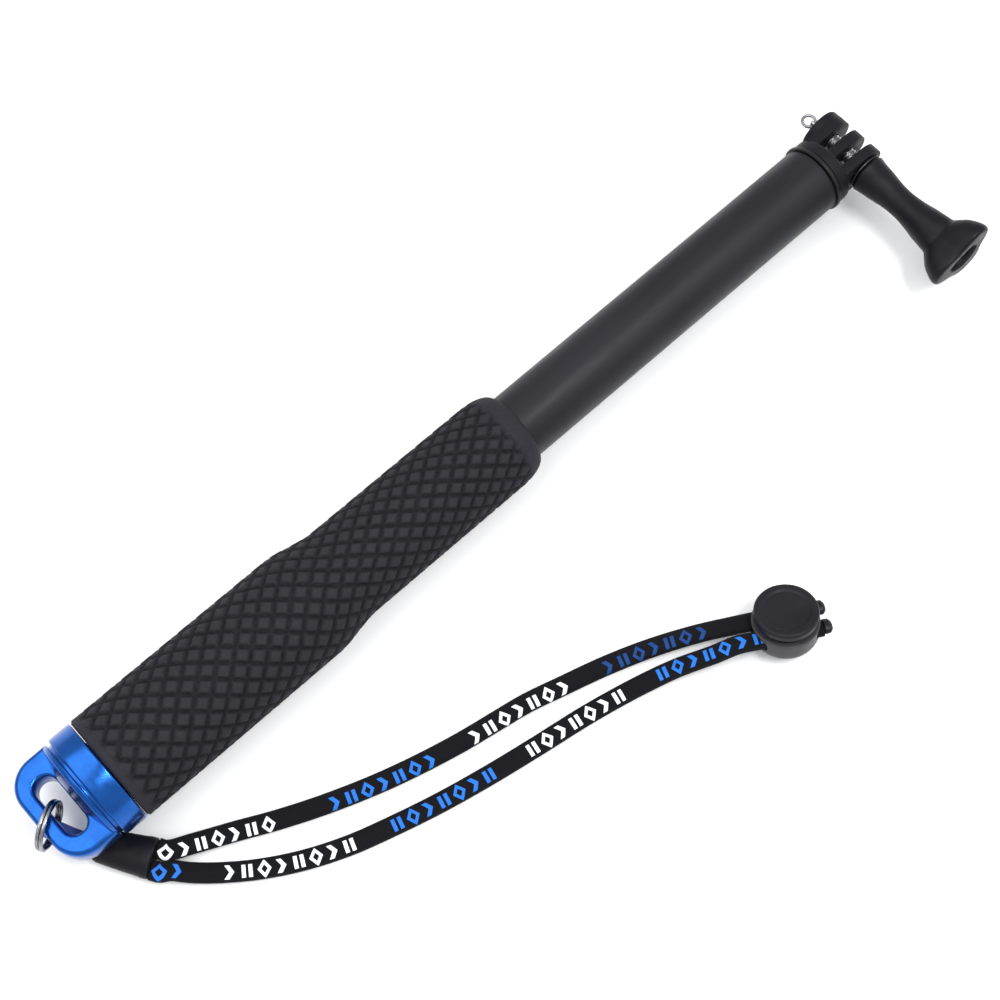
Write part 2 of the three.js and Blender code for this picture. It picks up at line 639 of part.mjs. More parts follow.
function cordLockBody() {
  const bowl = upright([
    [0, 0],
    ...quarterArc(3).map(([out, up]) => [
      CORD_LOCK_RADIUS - CORD_LOCK_FOOT * (1 - out), CORD_LOCK_FOOT * up,
    ]),
    [CORD_LOCK_RADIUS, CORD_LOCK_HEIGHT - 0.4],
    [CORD_LOCK_RADIUS - 0.4, CORD_LOCK_HEIGHT], [CORD_LOCK_BORE, CORD_LOCK_HEIGHT],
    [CORD_LOCK_BORE, CORD_LOCK_FLOOR + 0.8], [CORD_LOCK_BORE - 0.6, CORD_LOCK_FLOOR],
    [0, CORD_LOCK_FLOOR],
  ], 28);
  const low = CHANNEL_CENTRE - CHANNEL_HEIGHT / 2;
  return carve(bowl, { cut: [channel(low, low + CHANNEL_HEIGHT)] });
}

const pistonBottom = CORD_LOCK_FLOOR + BUTTON_TRAVEL + 0.1;
const buttonLow = CORD_LOCK_HEIGHT + BUTTON_TRAVEL + 0.2;
const buttonHigh = buttonLow + 2.2;

function cordLockButton() {
  const radius = CORD_LOCK_BORE - GAP;
  const roundOver = 1.2;
  const piston = upright([
    [0, pistonBottom], [radius - 1.3, pistonBottom], [radius, pistonBottom + 0.9],
    [radius, buttonLow], [BUTTON_RADIUS - 0.3, buttonLow], [BUTTON_RADIUS, buttonLow + 0.3],
    ...quarterArc(3).reverse().map(([out, up]) => [
      BUTTON_RADIUS - roundOver * (1 - out), buttonHigh - roundOver * up,
    ]),
    [0, buttonHigh + 0.3],
  ], 28);
  const low = CHANNEL_CENTRE - CHANNEL_HEIGHT / 2;
  return carve(piston, { cut: [channel(low, low + CHANNEL_HEIGHT + BUTTON_TRAVEL)] });
}

function buttonSpring() {
  const wire = 0.25;
  const low = CORD_LOCK_FLOOR + 0.1 + wire;
  const rise = pistonBottom - 0.1 - wire - low;
  const turns = 2;
  const helix = new THREE.Curve();
  helix.getPoint = (share, target = new THREE.Vector3()) => {
    const angle = share * turns * Math.PI * 2;
    return target.set(4 * Math.cos(angle), 4 * Math.sin(angle), low + rise * share);
  };
  const section = new THREE.Shape();
  section.absarc(0, 0, wire, 0, Math.PI * 2, false);
  return new THREE.ExtrudeGeometry(section, {
    steps: 28, curveSegments: 3, bevelEnabled: false, extrudePath: helix,
  });
}

place(cordLock, 'cord_lock_body', cordLockBody(), plasticBlack());
place(cordLock, 'cord_lock_button', cordLockButton(), plasticBlack());
place(cordLock, 'cord_lock_spring', buttonSpring(), steel());

// The strands' ends are sealed in short hard tips just beyond the cord lock.
for (const [name, side] of [['strand_tip_upper', 1], ['strand_tip_lower', -1]]) {
  place(cordLock, name, turned([
    [TIP_START, 0], [TIP_START, 1.9], [TIP_START + 0.5, 2.2], [TIP_START + 1.6, 2],
    [TIP_START + 2.2, 1.2], [TIP_START + 2.2, 0],
  ], 16).scale(1, 1, 0.7).translate(0, side * STRAND_LOCK_OFFSET, CHANNEL_CENTRE), plasticBlack());
}

export default group;
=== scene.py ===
"""A collapsed selfie stick with its wrist strap, lying on a pale floor.

Sizes are in millimetres, measured from the grip's rear face and the pole's axis, and turned into
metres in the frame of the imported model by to_row."""

import math

import bmesh
import bpy
import numpy as np
from mathutils import Matrix, Vector


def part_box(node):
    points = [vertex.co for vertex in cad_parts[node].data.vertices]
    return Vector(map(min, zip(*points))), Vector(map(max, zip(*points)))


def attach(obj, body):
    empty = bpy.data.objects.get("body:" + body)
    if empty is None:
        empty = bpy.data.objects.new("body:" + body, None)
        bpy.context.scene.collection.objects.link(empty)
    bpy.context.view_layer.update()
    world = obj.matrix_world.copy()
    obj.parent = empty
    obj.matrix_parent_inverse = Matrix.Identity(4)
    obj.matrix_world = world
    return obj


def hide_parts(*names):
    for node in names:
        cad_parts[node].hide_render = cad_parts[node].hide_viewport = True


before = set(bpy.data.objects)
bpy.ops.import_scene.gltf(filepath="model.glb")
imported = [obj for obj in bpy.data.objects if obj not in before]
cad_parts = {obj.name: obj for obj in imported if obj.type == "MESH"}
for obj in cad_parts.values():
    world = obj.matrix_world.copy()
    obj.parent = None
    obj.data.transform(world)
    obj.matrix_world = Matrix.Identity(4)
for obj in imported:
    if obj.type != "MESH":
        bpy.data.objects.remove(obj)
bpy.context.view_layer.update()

MM = 0.001
GRIP_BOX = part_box("grip_sleeve")
TUBE_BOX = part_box("outer_tube")
AXIS_Y = (TUBE_BOX[0].y + TUBE_BOX[1].y) / 2
AXIS_Z = (TUBE_BOX[0].z + TUBE_BOX[1].z) / 2
ON_AXIS = Vector((GRIP_BOX[0].x, AXIS_Y, AXIS_Z))
ON_FLOOR = Vector((GRIP_BOX[0].x, AXIS_Y, 0))


# ---- mesh helpers ---------------------------------------------------------------------------
def circle(count):
    """Cosines and sines of evenly spaced angles round a circle."""
    angles = np.arange(count) * 2 * math.pi / count
    return np.cos(angles), np.sin(angles)


def flattened(sides, width, thickness, side_power, top_power):
    """An [across, up] section in metres; powers below 1 make an ellipse squarer."""
    cos, sin = circle(sides)
    return np.stack([
        np.sign(cos) * np.abs(cos) ** side_power * width / 2,
        np.sign(sin) * np.abs(sin) ** top_power * thickness / 2,
    ], axis=1) * MM


def eased(value, start=0.0, span=1.0):
    """A smooth step from 0 to 1 while value goes from start to start + span."""
    share = np.clip((value - start) / span, 0, 1)
    return share * share * (3 - 2 * share)


def fillet(points, radii, steps=5):
    """A polyline whose corners are rounded by arcs; a radius of 0 keeps a corner."""
    points = [np.array(p, float) for p in points]
    out = []
    for i, (point, radius) in enumerate(zip(points, radii)):
        if radius == 0 or i in (0, len(points) - 1):
            out.append(point)
            continue
        back, ahead = points[i - 1] - point, points[i + 1] - point
        u, v = back / np.linalg.norm(back), ahead / np.linalg.norm(ahead)
        half = math.acos(np.clip(u @ v, -1, 1)) / 2
        reach = min(radius / math.tan(half), np.linalg.norm(back) / 2, np.linalg.norm(ahead) / 2)
        for step in range(steps + 1):
            t = step / steps
            a, b = point + u * reach * (1 - t), point + v * reach * t
            out.append(a * (1 - t) + b * t)
    return np.array(out)


def grid_faces(rows, columns, wrap_rows=False, wrap_columns=True):
    """Quads between rings of points, as an array of four indices each."""
    r = np.arange(rows if wrap_rows else rows - 1)
    c = np.arange(columns if wrap_columns else columns - 1)
    rr, cc = np.meshgrid(r, c, indexing="ij")
    nr, nc = (rr + 1) % rows, (cc + 1) % columns
    return np.stack(
        [rr * columns + cc, rr * columns + nc, nr * columns + nc, nr * columns + cc], axis=-1
    ).reshape(-1, 4)


def mesh_data(name, points, faces, sharp_degrees=40, uv=None):
    """A mesh in row-frame metres with outward faces and smooth shading."""
    mesh = bpy.data.meshes.new(name)
    mesh.from_pydata(np.asarray(points).tolist(), [], [list(map(int, f)) for f in faces])
    if uv is not None:
        layer = mesh.uv_layers.new(name="along")
        corners = np.zeros(len(mesh.loops), int)
        mesh.loops.foreach_get("vertex_index", corners)
        layer.data.foreach_set("uv", np.asarray(uv, float)[corners].ravel())
    work = bmesh.new()
    work.from_mesh(mesh)
    bmesh.ops.remove_doubles(work, verts=work.verts, dist=1e-7)
    bmesh.ops.recalc_face_normals(work, faces=work.faces)
    work.to_mesh(mesh)
    work.free()
    mesh.shade_smooth()
    mesh.set_sharp_from_angle(angle=math.radians(sharp_degrees))
    return mesh


def piece(name, mesh, body, material, replaces=()):
    """A shown object that rides on a body and stands for CAD nodes."""
    made = bpy.data.objects.new(name, mesh)
    bpy.context.scene.collection.objects.link(made)
    mesh.materials.clear()
    mesh.materials.append(material)
    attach(made, body)
    if replaces:
        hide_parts(*replaces)
    return made


def axis_frame(along):
    """A matrix that takes a body turned about X to one turned about another axis."""
    turns = {
        "x": Matrix.Identity(3),
        "y": Matrix(((0, -1, 0), (1, 0, 0), (0, 0, 1))),
        "z": Matrix(((0, 0, -1), (0, 1, 0), (1, 0, 0))),
    }
    return np.array(turns[along])


def to_row(points, origin=ON_AXIS):
    return np.asarray(points, float) * MM + np.array(origin)


def revolve(profile, sides=96, along="x", centre=(0, 0, 0), reshape=None):
    """Points in millimetres and faces of a body turned from [place, radius] pairs."""
    profile = np.asarray(profile, float)
    cos, sin = circle(sides)
    places = np.repeat(profile[:, :1], sides, axis=1)
    ys = profile[:, 1:] * cos
    zs = profile[:, 1:] * sin
    points = np.stack([places, ys, zs], axis=-1).reshape(-1, 3)
    if reshape:
        points = reshape(points)
    points = points @ axis_frame(along).T + np.array(centre, float)
    closed = bool(np.allclose(profile[0], profile[-1]))
    if closed:
        points = points[:-sides]
    return points, grid_faces(len(profile) - closed, sides, wrap_rows=closed)


def sweep(centres, section, ups, closed=False):
    """Rings of a section carried along centres; the section's first axis points across and its
    second along ups."""
    centres, ups = np.asarray(centres, float), np.asarray(ups, float)
    if closed:
        tangents = np.roll(centres, -1, 0) - np.roll(centres, 1, 0)
    else:
        tangents = np.gradient(centres, axis=0)
    tangents /= np.linalg.norm(tangents, axis=1, keepdims=True)
    across = np.cross(tangents, ups)
    across /= np.linalg.norm(across, axis=1, keepdims=True)
    lifts = np.cross(across, tangents)
    return (
        centres[:, None, :]
        + across[:, None, :] * section[None, :, :1]
        + lifts[:, None, :] * section[None, :, 1:]
    )


def tube_mesh(rings, closed=False):
    """Points and faces of rings, with a flat cap on each open end."""
    count, sides = rings.shape[:2]
    points = rings.reshape(-1, 3)
    faces = [list(f) for f in grid_faces(count, sides, wrap_rows=closed)]
    if not closed:
        faces.append(list(range(sides)))
        faces.append(list(range((count - 1) * sides, count * sides)))
    return points, faces


def baked(name, source):
    """The mesh of an object with its modifiers applied; the object is removed."""
    graph = bpy.context.evaluated_depsgraph_get()
    mesh = bpy.data.meshes.new_from_object(source.evaluated_get(graph))
    mesh.name = name
    bpy.data.objects.remove(source)
    return mesh


def scratch(name, points, faces):
    """A helper object in row-frame metres for a boolean."""
    made = bpy.data.objects.new(name, mesh_data(name, points, faces))
    bpy.context.scene.collection.objects.link(made)
    return made


def rod(start, end, radius):
    """The profile of a plain rod, for revolve."""
    return [(start, 0), (start, radius), (end, radius), (end, 0)]


def box_points(low, high):
    low, high = np.array(low, float), np.array(high, float)
    corners = np.array([[x, y, z] for x in (0, 1) for y in (0, 1) for z in (0, 1)])
    faces = [(0, 1, 3, 2), (4, 6, 7, 5), (0, 4, 5, 1), (2, 3, 7, 6), (0, 2, 6, 4), (1, 5, 7, 3)]
    return low + corners * (high - low), faces


SHARP_EDGE = math.radians(35)
EDGE_SEGMENTS = 3


def combined(name, base, joins=(), cuts=(), edge=0.25):
    """Joins and cuts helper objects, rounds the edges by edge millimetres and gives the mesh."""
    for kind, tools in (("UNION", joins), ("DIFFERENCE", cuts)):
        for tool in tools:
            boolean = base.modifiers.new("cut", "BOOLEAN")
            boolean.operation = kind
            boolean.solver = "EXACT"
            boolean.object = tool
    bevel = base.modifiers.new("edges", "BEVEL")
    bevel.width = edge * MM
    bevel.segments = EDGE_SEGMENTS
    bevel.limit_method = "ANGLE"
    bevel.angle_limit = SHARP_EDGE
    bevel.use_clamp_overlap = True
    mesh = baked(name, base)
    for tool in [*joins, *cuts]:
        bpy.data.objects.remove(tool)
    mesh.shade_smooth()
    mesh.set_sharp_from_angle(angle=SHARP_EDGE)
    return mesh


# ---- material helpers -----------------------------------------------------------------------
class Look:
    """A procedural material built round one Principled shader."""

    def __init__(self, name, color, roughness, metallic=0.0, **sockets):
        self.material = bpy.data.materials.new(name)
        self.material.use_nodes = True
        self.nodes = self.material.node_tree.nodes
        self.links = self.material.node_tree.links
        self.shader = self.nodes["Principled BSDF"]
        self.shader.inputs["Base Color"].default_value = (*color, 1)
        self.shader.inputs["Roughness"].default_value = roughness
        self.shader.inputs["Metallic"].default_value = metallic
        for socket, value in sockets.items():
            self.shader.inputs[socket.replace("_", " ")].default_value = value
        self.color = color
        self.roughness = roughness
        self.normal = None
        self.coords = self.nodes.new("ShaderNodeTexCoord").outputs["Object"]

    def math(self, operation, first, second=0.0, third=0.0, clamp=False):
        node = self.nodes.new("ShaderNodeMath")
        node.operation = operation
        node.use_clamp = clamp
        for socket, value in zip(node.inputs, (first, second, third)):
            if isinstance(value, (int, float)):
                socket.default_value = value
            else:
                self.links.new(value, socket)
        return node.outputs[0]

    def noise(self, per_mm, detail=4.0, stretch=(1, 1, 1)):
        """Noise whose grains are about 1 / per_mm millimetres wide."""
        mapping = self.nodes.new("ShaderNodeMapping")
        mapping.inputs["Scale"].default_value = [s / MM for s in stretch]
        self.links.new(self.coords, mapping.inputs["Vector"])
        node = self.nodes.new("ShaderNodeTexNoise")
        node.inputs["Scale"].default_value = per_mm
        node.inputs["Detail"].default_value = detail
        node.inputs["Distortion"].default_value = 0.0
        self.links.new(mapping.outputs[0], node.inputs["Vector"])
        return node.outputs["Fac"]

    def ramp(self, value, stops):
        """A blend between two (place, colour) stops, with places from 0 to 1."""
        node = self.nodes.new("ShaderNodeValToRGB")
        for element, (place, color) in zip(node.color_ramp.elements, stops):
            element.position = place
            element.color = (*color, 1)
        self.links.new(value, node.inputs["Fac"])
        return node.outputs["Color"]

    def remap(self, value, low, high, from_low=0.3, from_high=0.7):
        node = self.nodes.new("ShaderNodeMapRange")
        node.inputs["From Min"].default_value = from_low
        node.inputs["From Max"].default_value = from_high
        node.inputs["To Min"].default_value = low
        node.inputs["To Max"].default_value = high
        self.links.new(value, node.inputs["Value"])
        return node.outputs["Result"]

    def mix(self, factor, first, second):
        node = self.nodes.new("ShaderNodeMix")
        node.data_type = "RGBA"
        for name, value in (("Factor", factor), ("A", first), ("B", second)):
            socket = [s for s in node.inputs if s.name == name and s.enabled][0]
            if isinstance(value, (int, float)):
                socket.default_value = value
            elif isinstance(value, tuple):
                socket.default_value = (*value, 1)
            else:
                self.links.new(value, socket)
        return [s for s in node.outputs if s.enabled][0]

    def attribute(self, name):
        node = self.nodes.new("ShaderNodeAttribute")
        node.attribute_name = name
        return node.outputs["Fac"]

    def set(self, socket, value):
        self.links.new(value, self.shader.inputs[socket])

    def bump(self, height, strength, distance_mm):
        node = self.nodes.new("ShaderNodeBump")
        node.inputs["Strength"].default_value = strength
        node.inputs["Distance"].default_value = distance_mm * MM
        self.links.new(height, node.inputs["Height"])
        if self.normal:
            self.links.new(self.normal, node.inputs["Normal"])
        self.normal = node.outputs["Normal"]
        self.set("Normal", self.normal)

    def vary_color(self, value, dark, light):
        """The base colour between two shades of itself."""
        self.set("Base Color", self.ramp(value, [
            (0.3, tuple(c * dark for c in self.color)),
            (0.7, tuple(min(c * light, 1) for c in self.color)),
        ]))

    def vary_roughness(self, value, spread):
        self.set("Roughness", self.remap(
            value, max(self.roughness - spread, 0.02), min(self.roughness + spread, 1)
        ))


def grained_plastic(name, color, roughness, grain_per_mm=3.0, grain=0.35, depth=0.06, shine=0.22):
    """Moulded plastic with a fine spark-eroded grain and faint handling marks."""
    look = Look(name, color, roughness, Specular_IOR_Level=shine)
    fine = look.noise(grain_per_mm, detail=3)
    broad = look.noise(0.12, detail=3)
    look.vary_color(broad, 0.8, 1.25)
    look.vary_roughness(look.noise(0.35, detail=5), 0.09)
    look.bump(fine, grain, depth)
    return look.material


def plated_steel(name, color=(0.62, 0.62, 0.64), roughness=0.24):
    """Nickel-plated steel with fine drawn scratches and dull patches."""
    look = Look(name, color, roughness, metallic=1.0)
    look.vary_color(look.noise(0.6, detail=4), 0.72, 1.12)
    look.vary_roughness(look.noise(1.4, detail=6), 0.12)
    look.bump(look.noise(4.0, detail=2, stretch=(1, 6, 6)), 0.12, 0.03)
    return look.material


def painted_tube(name):
    """Black powder-coated aluminium with a fine orange peel."""
    look = Look(name, (0.015, 0.0145, 0.019), 0.45, metallic=0.3, Specular_IOR_Level=0.22)
    look.vary_color(look.noise(0.07, detail=4, stretch=(0.3, 1, 1)), 0.86, 1.2)
    look.vary_roughness(look.noise(0.5, detail=5, stretch=(0.2, 1, 1)), 0.06)
    look.bump(look.noise(2.2, detail=3), 0.2, 0.05)
    return look.material


def knurled_rubber(name):
    """Rubber whose raised diamonds are lighter than its grooves: rubbed wear on the diamonds and
    painted shade in the grooves.
    """
    look = Look(name, (0.014, 0.013, 0.018), 0.72, Specular_IOR_Level=0.12)
    relief = look.attribute("relief")
    dust = look.noise(0.9, detail=5)
    # painted shade: the knurl's grooves are darkened almost to black, the raised diamonds stay
    # lighter
    groove_shade_and_wear = look.mix(relief, (0.003, 0.003, 0.005), (0.019, 0.018, 0.024))
    dusty = look.mix(look.remap(dust, 0.0, 0.3), groove_shade_and_wear, (0.026, 0.025, 0.032))
    look.set("Base Color", dusty)
    look.set("Roughness", look.remap(look.noise(1.2, detail=4), 0.6, 0.82))
    look.bump(look.noise(5.0, detail=3), 0.3, 0.05)
    return look.material


def anodised(name, color, roughness=0.27):
    """Bead-blasted aluminium with a coloured anodised skin whose tone and roughness vary a little.
    """
    look = Look(name, color, roughness, metallic=0.9)
    look.vary_color(look.noise(0.25, detail=4), 0.86, 1.14)
    look.vary_roughness(look.noise(0.8, detail=5), 0.05)
    look.bump(look.noise(6.0, detail=2), 0.12, 0.03)
    return look.material


def woven(name, color, roughness=0.85):
    """Plain-woven nylon tape; its threads follow the piece's own UVs, in millimetres."""
    look = Look(name, color, roughness, Sheen_Weight=0.25, Sheen_Roughness=0.5)
    weave = weave_height(look)
    look.set("Base Color", look.mix(
        weave, tuple(c * 0.55 for c in color), tuple(min(c * 1.25, 1) for c in color)
    ))
    look.bump(weave, 0.7, 0.12)
    return look.material


def uv_axes(look):
    """The along and across coordinates of a strap's UVs, in millimetres."""
    node = look.nodes.new("ShaderNodeUVMap")
    node.uv_map = "along"
    split = look.nodes.new("ShaderNodeSeparateXYZ")
    look.links.new(node.outputs[0], split.inputs[0])
    return split.outputs["X"], split.outputs["Y"]


def weave_height(look, pitch=0.55):
    """Height of a herringbone of threads, from 0 to 1."""
    along, across = uv_axes(look)
    turn = 2 * math.pi / pitch
    slanted = look.math("ADD", look.math("MULTIPLY", along, turn),
                        look.math("MULTIPLY", look.math("ABSOLUTE", across), turn * 0.8))
    rib = look.math("SINE", slanted)
    thread = look.math("SINE", look.math("MULTIPLY", across, turn * 1.3))
    both = look.math("ADD", look.math("MULTIPLY", rib, 0.3), look.math("MULTIPLY", thread, 0.2))
    return look.math("ADD", both, 0.5, clamp=True)


# ---- camera ---------------------------------------------------------------------------------
CAMERA_TARGET = (118.0, -12.2, 0)
CAMERA_AZIMUTH = -42.3
CAMERA_ELEVATION = 69.1
CAMERA_DISTANCE = 480
FIELD_OF_VIEW = 30.06


def make_camera():
    azimuth, elevation = math.radians(CAMERA_AZIMUTH), math.radians(CAMERA_ELEVATION)
    back = Vector((
        math.sin(azimuth) * math.cos(elevation),
        -math.cos(azimuth) * math.cos(elevation),
        math.sin(elevation),
    ))
    data = bpy.data.cameras.new("camera")
    data.sensor_width = 36
    data.angle = math.radians(FIELD_OF_VIEW)
    data.clip_start, data.clip_end = 0.01, 20
    camera = bpy.data.objects.new("camera", data)
    bpy.context.scene.collection.objects.link(camera)
    target = Vector(to_row(CAMERA_TARGET).tolist())
    camera.location = target + back * CAMERA_DISTANCE * MM
    camera.rotation_mode = "QUATERNION"
    camera.rotation_quaternion = (-back).to_track_quat("-Z", "Y")
    bpy.context.scene.camera = camera


make_camera()

# ---- wrist strap: places --------------------------------------------------------------------
FERRULE = {"place": (-14.07, -9.33, 4), "heading": -56, "lean": 0}
FERRULE_LENGTH = 14.8
RING = {"place": (-19.3, -1, 14.5), "heading": -58, "lean": 0}
LOCK_RADIUS = 8.8
LOCK_FOOT = 3.5
LOCK_LEAN = 18
LOCK_LIFT = (
    (LOCK_RADIUS - LOCK_FOOT) * math.sin(math.radians(LOCK_LEAN))
    + LOCK_FOOT * (1 - math.cos(math.radians(LOCK_LEAN)))
)
LOCK = {"place": (150.4, -85.6, LOCK_LIFT), "heading": -30, "lean": LOCK_LEAN}
CHANNEL_CENTRE = 5
GAP = 0.3
TIP_START = LOCK_RADIUS + GAP
STRAND_WIDTH = 5.2
STRAND_THICKNESS = 3
STRAND_START_OFFSET = 2.75
STRAND_LOCK_OFFSET = 3
STRAND_POINTS = 361
LEAN_START, LEAN_SPAN = 0.66, 0.19  # shares of a strand's length

# Routes of the strands' centres between the ferrule and the cord lock: metres from the grip's
# rear face, from the pole's axis and above the floor.
UPPER_ROUTE = [
    (0.0040, -0.0251, 0.0030), (0.0142, -0.0298, 0.0019), (0.0220, -0.0337, 0.0016),
    (0.0324, -0.0384, 0.0016), (0.0432, -0.0426, 0.0016), (0.0522, -0.0456, 0.0016),
    (0.0614, -0.0482, 0.0016), (0.0706, -0.0504, 0.0016), (0.0800, -0.0522, 0.0016),
    (0.0892, -0.0540, 0.0016), (0.0993, -0.0569, 0.0016), (0.1109, -0.0604, 0.0016),
    (0.1227, -0.0650, 0.0025), (0.1335, -0.0706, 0.0046),
]
LOWER_ROUTE = [
    (-0.0046, -0.0265, 0.0036), (-0.0009, -0.0304, 0.0029), (0.0041, -0.0348, 0.0022),
    (0.0116, -0.0404, 0.0017), (0.0211, -0.0461, 0.0016), (0.0322, -0.0511, 0.0016),
    (0.0439, -0.0549, 0.0016), (0.0561, -0.0583, 0.0016), (0.0694, -0.0613, 0.0016),
    (0.0837, -0.0640, 0.0016), (0.0976, -0.0664, 0.0016), (0.1106, -0.0693, 0.0017),
    (0.1226, -0.0731, 0.0035), (0.1326, -0.0777, 0.0061),
]
STRAIGHT_ENDS = [-13.5, -8, -2, 4, TIP_START - GAP]


def local_frame(spot):
    """The 4x4 matrix of a strap piece's own frame, in millimetres on the floor."""
    turn = Matrix.Rotation(math.radians(spot["heading"]), 4, "Z")
    lean = Matrix.Rotation(-math.radians(spot["lean"]), 4, "X")
    return Matrix.Translation(spot["place"]) @ turn @ lean


def in_local(spot, points):
    """Points of a strap piece's own frame, in row-frame metres."""
    matrix = np.array(local_frame(spot))
    points = np.asarray(points, float)
    return to_row(points @ matrix[:3, :3].T + matrix[:3, 3], ON_FLOOR)


def catmull_rom(points, count):
    """Evenly spaced points on the centripetal spline through points."""
    points = np.asarray(points, float)
    padded = np.vstack([2 * points[0] - points[1], points, 2 * points[-1] - points[-2]])
    knots = np.concatenate([[0], np.cumsum(
        np.maximum(np.linalg.norm(np.diff(padded, axis=0), axis=1), 1e-9) ** 0.5
    )])
    curve = []
    for i in range(1, len(padded) - 2):
        t0, t1, t2, t3 = knots[i - 1:i + 3]
        p0, p1, p2, p3 = padded[i - 1:i + 3]
        for t in np.linspace(t1, t2, 24, endpoint=False):
            a1 = (t1 - t) / (t1 - t0) * p0 + (t - t0) / (t1 - t0) * p1
            a2 = (t2 - t) / (t2 - t1) * p1 + (t - t1) / (t2 - t1) * p2
            a3 = (t3 - t) / (t3 - t2) * p2 + (t - t2) / (t3 - t2) * p3
            b1 = (t2 - t) / (t2 - t0) * a1 + (t - t0) / (t2 - t0) * a2
            b2 = (t3 - t) / (t3 - t1) * a2 + (t - t1) / (t3 - t1) * a3
            curve.append((t2 - t) / (t2 - t1) * b1 + (t - t1) / (t2 - t1) * b2)
    curve.append(points[-1])
    curve = np.array(curve)
    walked = np.concatenate([[0], np.cumsum(np.linalg.norm(np.diff(curve, axis=0), axis=1))])
    even = np.linspace(0, walked[-1], count)
    return np.stack([np.interp(even, walked, curve[:, k]) for k in range(3)], axis=1), walked[-1]


# ---- wrist strap: the two strands -----------------------------------------------------------
PRINT_PITCH = 4.3
PRINT_WHITE = (0.86, 0.87, 0.9)
PRINT_BLUE = (0.02, 0.16, 0.62)
PRINT_NAVY = (0.01, 0.05, 0.2)


def printed_strap(name, prints, shift):
    """Black tubular tape with groups of printed marks: lozenges, bars and chevrons.

    prints holds (first mark, mark after the last, colour), counted from the ferrule, and shift
    moves the marks across the tape."""
    look = Look(name, (0.006, 0.006, 0.008), 0.85, Specular_IOR_Level=0.1, Sheen_Weight=0.02)
    along, across = uv_axes(look)
    weave = weave_height(look)
    cell = look.math("FRACT", look.math("DIVIDE", along, PRINT_PITCH))
    x = look.math("MULTIPLY", look.math("SUBTRACT", cell, 0.5), PRINT_PITCH)
    y = look.math("ADD", across, -shift)
    ax, ay = look.math("ABSOLUTE", x), look.math("ABSOLUTE", y)
    number = look.math("FLOOR", look.math("DIVIDE", along, PRINT_PITCH))

    def within(value, low, high):
        above = look.math("GREATER_THAN", value, low)
        return look.math("MULTIPLY", above, look.math("LESS_THAN", value, high))

    lozenge_size = look.math("ADD", look.math("DIVIDE", ax, 1.75), look.math("DIVIDE", ay, 2.35))
    lozenge = within(lozenge_size, 0.46, 1.0)
    chevron_line = look.math("ADD", x, look.math("MULTIPLY", ay, 0.7))
    chevron = look.math("MULTIPLY", within(chevron_line, -0.1, 1.15), look.math(
        "LESS_THAN", ay, 1.75))
    twin = look.math("MULTIPLY", within(ax, 0.35, 1.35), look.math("LESS_THAN", ay, 1.6))
    kind = look.math("MODULO", number, 3)
    marks = look.math("MULTIPLY", lozenge, look.math("LESS_THAN", kind, 0.5))
    marks = look.math("ADD", marks, look.math("MULTIPLY", chevron, within(kind, 0.5, 1.5)))
    marks = look.math("ADD", marks, look.math("MULTIPLY", twin, look.math(
        "GREATER_THAN", kind, 1.5)), clamp=True)

    total = None
    color = look.mix(weave, (0.002, 0.002, 0.003), (0.009, 0.009, 0.012))
    for start, end, ink in prints:
        inside = look.math("MULTIPLY", marks, within(number, start - 0.5, end - 0.5))
        worn = look.math("MULTIPLY", inside, look.remap(weave, 0.75, 1.0, 0.0, 0.4))
        color = look.mix(worn, color, ink)
        total = inside if total is None else look.math("ADD", total, inside, clamp=True)
    look.set("Base Color", color)
    look.set("Roughness", look.remap(total, 0.85, 0.5, 0.0, 1.0))
    look.bump(weave, 0.6, 0.1)
    look.bump(total, 0.5, 0.06)
    return look.material


def girth(section):
    """Distance round a section from the middle of its top, negative on one side, in mm."""
    top = len(section) // 4
    ring = np.roll(section, -top, 0)
    walked = np.concatenate([[0], np.cumsum(np.linalg.norm(np.diff(ring, axis=0), axis=1))])
    total = walked[-1] + np.linalg.norm(ring[0] - ring[-1])
    signed = np.where(walked < total / 2, walked, walked - total)
    return -np.roll(signed, top) / MM


def make_strand(name, node, tip, route, side, material):
    start = in_local(FERRULE, [
        (FERRULE_LENGTH + beyond, side * STRAND_START_OFFSET, 0) for beyond in (GAP, 2.6)
    ])
    end = in_local(LOCK, [
        (along, side * STRAND_LOCK_OFFSET, CHANNEL_CENTRE) for along in STRAIGHT_ENDS
    ])
    middle = np.array(route) + np.array(ON_FLOOR)
    centres, length = catmull_rom(np.vstack([start, middle, end]), STRAND_POINTS)
    lean = math.radians(LOCK_LEAN)
    lean_here = lean * eased(np.linspace(0, 1, len(centres)), LEAN_START, LEAN_SPAN)
    heading = math.radians(LOCK["heading"])
    towards = np.array([-math.sin(heading), math.cos(heading), 0])
    ups = (
        np.cos(lean_here)[:, None] * np.array([0, 0, 1])
        + np.sin(lean_here)[:, None] * towards
    )
    section = flattened(28, STRAND_WIDTH, STRAND_THICKNESS, 0.75, 0.8)
    rings = sweep(centres, section, ups)
    points, faces = tube_mesh(rings)
    along = np.repeat(np.linspace(0, length / MM, len(centres)), len(section))
    across = np.tile(girth(section), len(centres))
    mesh = mesh_data(name, points, faces, 60, np.stack([along, across], axis=1))
    made = piece(name, mesh, "strap", material, [node])
    exit_point = in_local(FERRULE, [(FERRULE_LENGTH, side * STRAND_START_OFFSET, 0)])[0]
    return made, centres, length, exit_point


